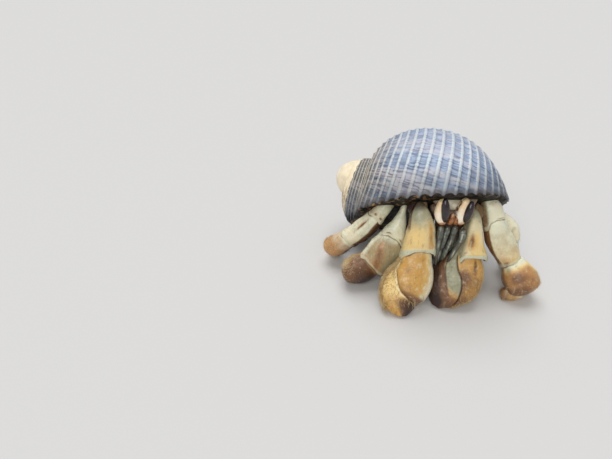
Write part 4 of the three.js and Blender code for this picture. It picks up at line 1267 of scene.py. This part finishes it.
def setae(name, hosts, material, slot, seed):
    """Short stiff hairs in thin tapered cones. hosts is a list of surface, count, length in
    mm, and a function of t and a that says how thickly they stand. Each host has a tile of
    the OFBake map, and each hair a patch on it where its root is."""
    rng = np.random.default_rng(seed)
    tiles = int(np.ceil(len(hosts) ** 0.5))
    hairs, patches = [], []
    for index, (s, count, length, density) in enumerate(hosts):
        t, a, rim = (s.fields[k] for k in ("t", "a", "rim"))
        weight = density(t, a) * (rim < 0.05) * (t > 0.03)
        pick = rng.choice(len(t), size=count, p=weight / weight.sum())
        root = s.points[pick] + rng.normal(scale=0.1, size=(count, 3))
        out = s.normals()[pick]
        root -= out * np.sum((root - s.points[pick]) * out, axis=1)[:, None] + out * ROOT_DEPTH
        forward = s.ways[(t[pick] * (len(s.ways) - 1)).astype(int)]
        spread = rng.normal(scale=LEAN_SPREAD, size=(count, 3))
        lean = unit(out * LEAN_OUT + forward * LEAN_FORWARD + spread)
        long = length * rng.uniform(SHORTEST, LONGEST, count)[:, None]
        side = unit(np.cross(lean, rng.normal(size=(count, 3))))
        other = np.cross(lean, side)
        wide = (0.014 + 0.024 * length) * rng.uniform(0.8, 1.2, count)[:, None]
        ring = [(side * np.cos(k * TAU / 3) + other * np.sin(k * TAU / 3)) * wide for k in range(3)]
        mid, tip = root + lean * long * 0.55, root + lean * long + forward * long * 0.3
        corners = [root + r for r in ring] + [mid + 0.7 * r for r in ring] + [tip]
        hairs.append(np.stack(corners, axis=1))
        tile = np.array([index % tiles, index // tiles])
        place = np.stack([a[pick] / TAU, t[pick]], axis=1)
        patches.append((tile + TILE_MARGIN + (1 - 2 * TILE_MARGIN) * place) / tiles)
    hairs, patches = np.concatenate(hairs), np.concatenate(patches)
    faces = [[7 * i + k for k in face] for i in range(len(hairs)) for face in HAIR_FACES]
    made = piece(name, Surface(hairs.reshape(-1, 3), faces, {}), material, slot, [])
    uv = patches[:, None] + PATCH_SIZE * HAIR_PATCH[np.concatenate(HAIR_FACES)]
    made.data.uv_layers.new(name="OFBake").data.foreach_set("uv", uv.astype(np.float32).ravel())


def lateral(angle, wide, start=0.12, stop=None):
    """Where hairs stand: round an angle, beyond a share of the way along, and up to another."""
    def density(t, a):
        most = (0.12 + stripe(a, angle, wide)) * smooth(start, start + 0.2, t)
        return most if stop is None else most * smooth(*stop, t)
    return density


# ---------------------------------------------------------------- the other materials


def hair_material():
    n = Nodes("setae_horn")
    n.colour = n.mottle(n.noise(1.0, 4), 0.35, 0.65, (0.80, 0.62, 0.32), (0.60, 0.40, 0.18))
    return n.finish(Roughness=0.5, Normal=n.bump(n.noise(0.3), 0.03, 0.6))


def shield_material():
    """Olive-cream, and brown at the corners beside the eyes."""
    n = Nodes("shield_cuticle")
    n.colour = n.mottle(n.noise(1.1, 4), 0.35, 0.65, (0.76, 0.71, 0.54), (0.50, 0.45, 0.33))
    corner = n.plus(n.field("corner"), n.around(n.noise(0.9), 0.6))
    n.over(n.step(corner, 0.3, 0.7, (0, 0.92)), (0.20, 0.13, 0.085))
    return n.finish(Roughness=0.42, Normal=n.bump(n.noise(0.33), 0.03, 0.6))


def mouthpart_material():
    """Dark grey-green, with a pale streaked painted highlight along the front, and brown towards a
    lash's end.
    """
    n = Nodes("mouthpart_cuticle")
    n.colour = n.mottle(n.noise(0.8), 0.35, 0.65, (0.080, 0.088, 0.074), (0.155, 0.170, 0.135))
    ridge = n.plus(n.field("ridge"), 0.12, clamp=True)
    ridge = n.times(ridge, n.step(n.noise(0.6, 2, stretch=0.12), 0.46, 0.60))
    streak = n.step(n.noise(0.9, stretch=0.3), 0.48, 0.62, (0, 0.7))
    # The painted highlight along the front.
    n.over(ridge, (0.46, 0.48, 0.38))
    n.over(streak, (0.060, 0.040, 0.028))
    n.over(n.step(n.field("low"), 0.3, 1.0, (0, 0.8)), (0.035, 0.020, 0.013))
    n.over(n.field("joint"), (0.04, 0.035, 0.03))
    bumps = n.bump(n.noise(0.3), 0.03, 0.5)
    return n.finish(Roughness=0.34, Normal=bumps, Coat_Weight=0.2)


def flesh_material():
    """Near-black brown skin, its darkness painted shade for the body deep under the shell, lighter and
    mottled round the eyes.
    """
    n = Nodes("soft_flesh")
    n.colour = n.mottle(n.noise(2.0, 4), 0.35, 0.65, (0.075, 0.038, 0.022), (0.030, 0.016, 0.011))
    face = n.mottle(n.noise(0.7), 0.4, 0.62, (0.44, 0.32, 0.23), (0.22, 0.13, 0.085))
    face = n.mottle(n.noise(0.4, 2), 0.62, 0.7, face, (0.74, 0.58, 0.26))
    n.over(n.field("face"), face)
    return n.finish(
        Roughness=0.5, Normal=n.bump(n.noise(0.6), 0.04, 0.6),
        Subsurface_Weight=0.15, Subsurface_Scale=0.0008,
    )


def eyestalk_material():
    """Pale, brown at its base and on its inner side, tan in its upper half."""
    n = Nodes("eyestalk_cuticle")
    wavy = n.plus(n.field("t"), n.around(n.noise(0.8), 0.3))
    n.colour = n.mottle(n.noise(1.0), 0.3, 0.7, (0.98, 0.80, 0.60), (1.0, 0.91, 0.76))
    n.over(n.step(wavy, 0.48, 0.80, (0, 0.75)), (0.90, 0.64, 0.34))
    n.over(n.step(wavy, 0.30, 0.10), (0.44, 0.17, 0.05))
    inner = n.times(n.step(n.field("inner"), 0.3, 0.8), n.step(n.noise(0.5), 0.35, 0.6))
    n.over(inner, (0.15, 0.055, 0.02))
    n.over(n.step(wavy, 0.86, 0.98), (0.66, 0.52, 0.28))
    return n.finish(
        Roughness=0.3, Normal=n.bump(n.noise(0.35), 0.02, 0.5),
        Subsurface_Weight=0.1, Subsurface_Scale=0.0005, Coat_Weight=0.25,
    )


def cornea_material():
    n = Nodes("cornea")
    n.colour = n.mottle(n.noise(0.7), 0.4, 0.7, (0.012, 0.007, 0.010), (0.035, 0.016, 0.022))
    return n.finish(Roughness=0.24, Coat_Weight=0.25, Coat_Roughness=0.2)


# ---------------------------------------------------------------- everything together

shell_stuff = shell_material()
claw_stuff = cuticle("claw_cuticle", CREAM, (0.60, 0.33, 0.08))
leg_stuff = cuticle("leg_cuticle", MINT, (0.50, 0.26, 0.10))
hair_stuff = hair_material()
piece("shell_fine", shell_surface(), shell_stuff, "shell", ["shell"], sharp=48)

segments = {}
for limb, parts in LIMBS.items():
    for part, sizes in parts.items():
        found = claw(limb, sizes) if part == "palm" else {f"{limb}_{part}": segment(limb, part, sizes)}
        segments.update(found)
for limb in LIMBS:
    carpus = segments[f"{limb}_carpus"]
    if limb.startswith("cheliped"):
        for part in ("palm", "dactyl"):
            shade_joint(carpus, segments[f"{limb}_{part}"], "shade_and_joint", 0.75)
    else:
        shade_joint(segments[f"{limb}_merus"], carpus, "brown_and_shade", 0.62)
        shade_joint(carpus, segments[f"{limb}_propodus"], "brown_and_shade", 0.62)
for node, surface in segments.items():
    stuff, slot = (claw_stuff, "claw") if node.startswith("cheliped") else (leg_stuff, "leg")
    piece(f"{node}_fine", surface, stuff, slot, [node], sharp=60)

eyestalk_stuff, cornea_stuff, mouth_stuff = eyestalk_material(), cornea_material(), mouthpart_material()
HEAD_LOOKS = {"eyestalk": (eyestalk_stuff, "eyestalk"), "cornea": (cornea_stuff, "cornea")}
for side in ("right", "left"):
    for part in HEAD:
        looks = HEAD_LOOKS.get(part, (mouth_stuff, "mouthparts"))
        piece(f"{part}_{side}_fine", head_piece(part, side), *looks, [f"{part}_{side}"])
for side in ACICLES:
    piece(f"ocular_acicle_{side}", acicle(side), eyestalk_stuff, "eyestalk", [])
piece("shield_fine", shield_surface(), shield_material(), "shield", ["shield"])
skin_nodes = ["thorax", "abdomen", "leg4_right", "leg4_left", "leg5_right", "leg5_left"]
piece("body_skin", soft_body(), flesh_material(), "flesh", skin_nodes)

# Counts, lengths in mm, and where they stand.
setae("claw_setae", [
    (segments["cheliped_right_palm"], 4600, 0.8, lateral(195, 34, stop=(0.92, 0.75))),
    (segments["cheliped_right_carpus"], 300, 0.3, lateral(190, 60)),
    (segments["cheliped_left_palm"], 1700, 0.42, lateral(350, 60, stop=(1.0, 0.85))),
    (segments["cheliped_left_carpus"], 200, 0.3, lateral(350, 60)),
], hair_stuff, "claw", seed=11)
leg_hairs = [
    (segments["leg2_right_carpus"], 200, 0.3, lateral(180, 50)),
    (segments["leg2_right_propodus"], 300, 0.34, lateral(180, 60, 0.4)),
    (segments["leg3_right_carpus"], 200, 0.3, lateral(190, 40)),
    (segments["leg3_right_propodus"], 300, 0.34, lateral(180, 60, 0.4)),
    (segments["leg2_left_carpus"], 200, 0.3, lateral(350, 50)),
    (segments["leg2_left_propodus"], 300, 0.34, lateral(0, 60, 0.4)),
    (segments["leg3_left_carpus"], 150, 0.3, lateral(350, 50)),
    (segments["leg3_left_propodus"], 200, 0.34, lateral(0, 60, 0.4)),
]
for limb in ("leg2_right", "leg3_right", "leg2_left", "leg3_left"):
    leg_hairs.append((segments[f"{limb}_dactyl"], 200, 0.4, lateral(90, 120)))
setae("leg_setae", leg_hairs, hair_stuff, "leg", seed=12)

# ---------------------------------------------------------------- floor, light and camera

FLOOR_HALF = 3  # m
floor_corners = [(x * FLOOR_HALF, y * FLOOR_HALF, 0) for x, y in ((-1, -1), (1, -1), (1, 1), (-1, 1))]
floor = mesh_object("floor", floor_corners, [(0, 1, 2, 3)])
floor.data.materials.append(
    Nodes("floor").finish(Base_Color=(0.62, 0.60, 0.58), Roughness=0.9, Specular_IOR_Level=0.1))


def sun_light(name, direction, softness, strength, colour):
    """A broad, soft, even light that shines along a direction; softness is its width in degrees."""
    data = bpy.data.lights.new(name, "SUN")
    data.angle, data.energy, data.color = np.radians(softness), strength, colour
    add_object(name, data).rotation_euler = Vector(direction).to_track_quat("-Z", "Y").to_euler()


sun_light("sky", (0.03, -0.12, -0.34), softness=46, strength=2.0, colour=(0.93, 0.97, 1.0))
sun_light("front", (0.12, 0.30, -0.25), softness=32, strength=1.25, colour=(1.0, 0.97, 0.92))

# The world lights the model a little, and the camera sees a pale backdrop in its place.
FILL, FILL_STRENGTH = (0.92, 0.95, 1.0, 1), 0.40
BACKDROP, BACKDROP_STRENGTH = (0.72, 0.71, 0.69, 1), 1.0
world = bpy.data.worlds.new("studio")
world.use_nodes = True
tree = world.node_tree
fill, backdrop = tree.nodes["Background"], tree.nodes.new("ShaderNodeBackground")
for node, colour, strength in ((fill, FILL, FILL_STRENGTH), (backdrop, BACKDROP, BACKDROP_STRENGTH)):
    node.inputs["Color"].default_value, node.inputs["Strength"].default_value = colour, strength
seen, choose = tree.nodes.new("ShaderNodeLightPath"), tree.nodes.new("ShaderNodeMixShader")
tree.links.new(seen.outputs["Is Camera Ray"], choose.inputs[0])
tree.links.new(fill.outputs[0], choose.inputs[1])
tree.links.new(backdrop.outputs[0], choose.inputs[2])
tree.links.new(choose.outputs[0], tree.nodes["World Output"].inputs["Surface"])
bpy.context.scene.world = world

CAMERA_PLACE = (-0.02287, -0.07715, 0.062)
LOOKS_DOWN = 35.8  # degrees
LENS, SENSOR = 28.235, 36  # mm
camera_data = bpy.data.cameras.new("camera")
camera_data.lens, camera_data.sensor_width = LENS, SENSOR
camera_data.clip_start, camera_data.clip_end = 0.005, 20
camera = add_object("camera", camera_data)
camera.location = CAMERA_PLACE
camera.rotation_euler = (np.radians(90 - LOOKS_DOWN), 0, 0)
bpy.context.scene.camera = camera
bpy.context.scene.view_settings.view_transform = "Standard"
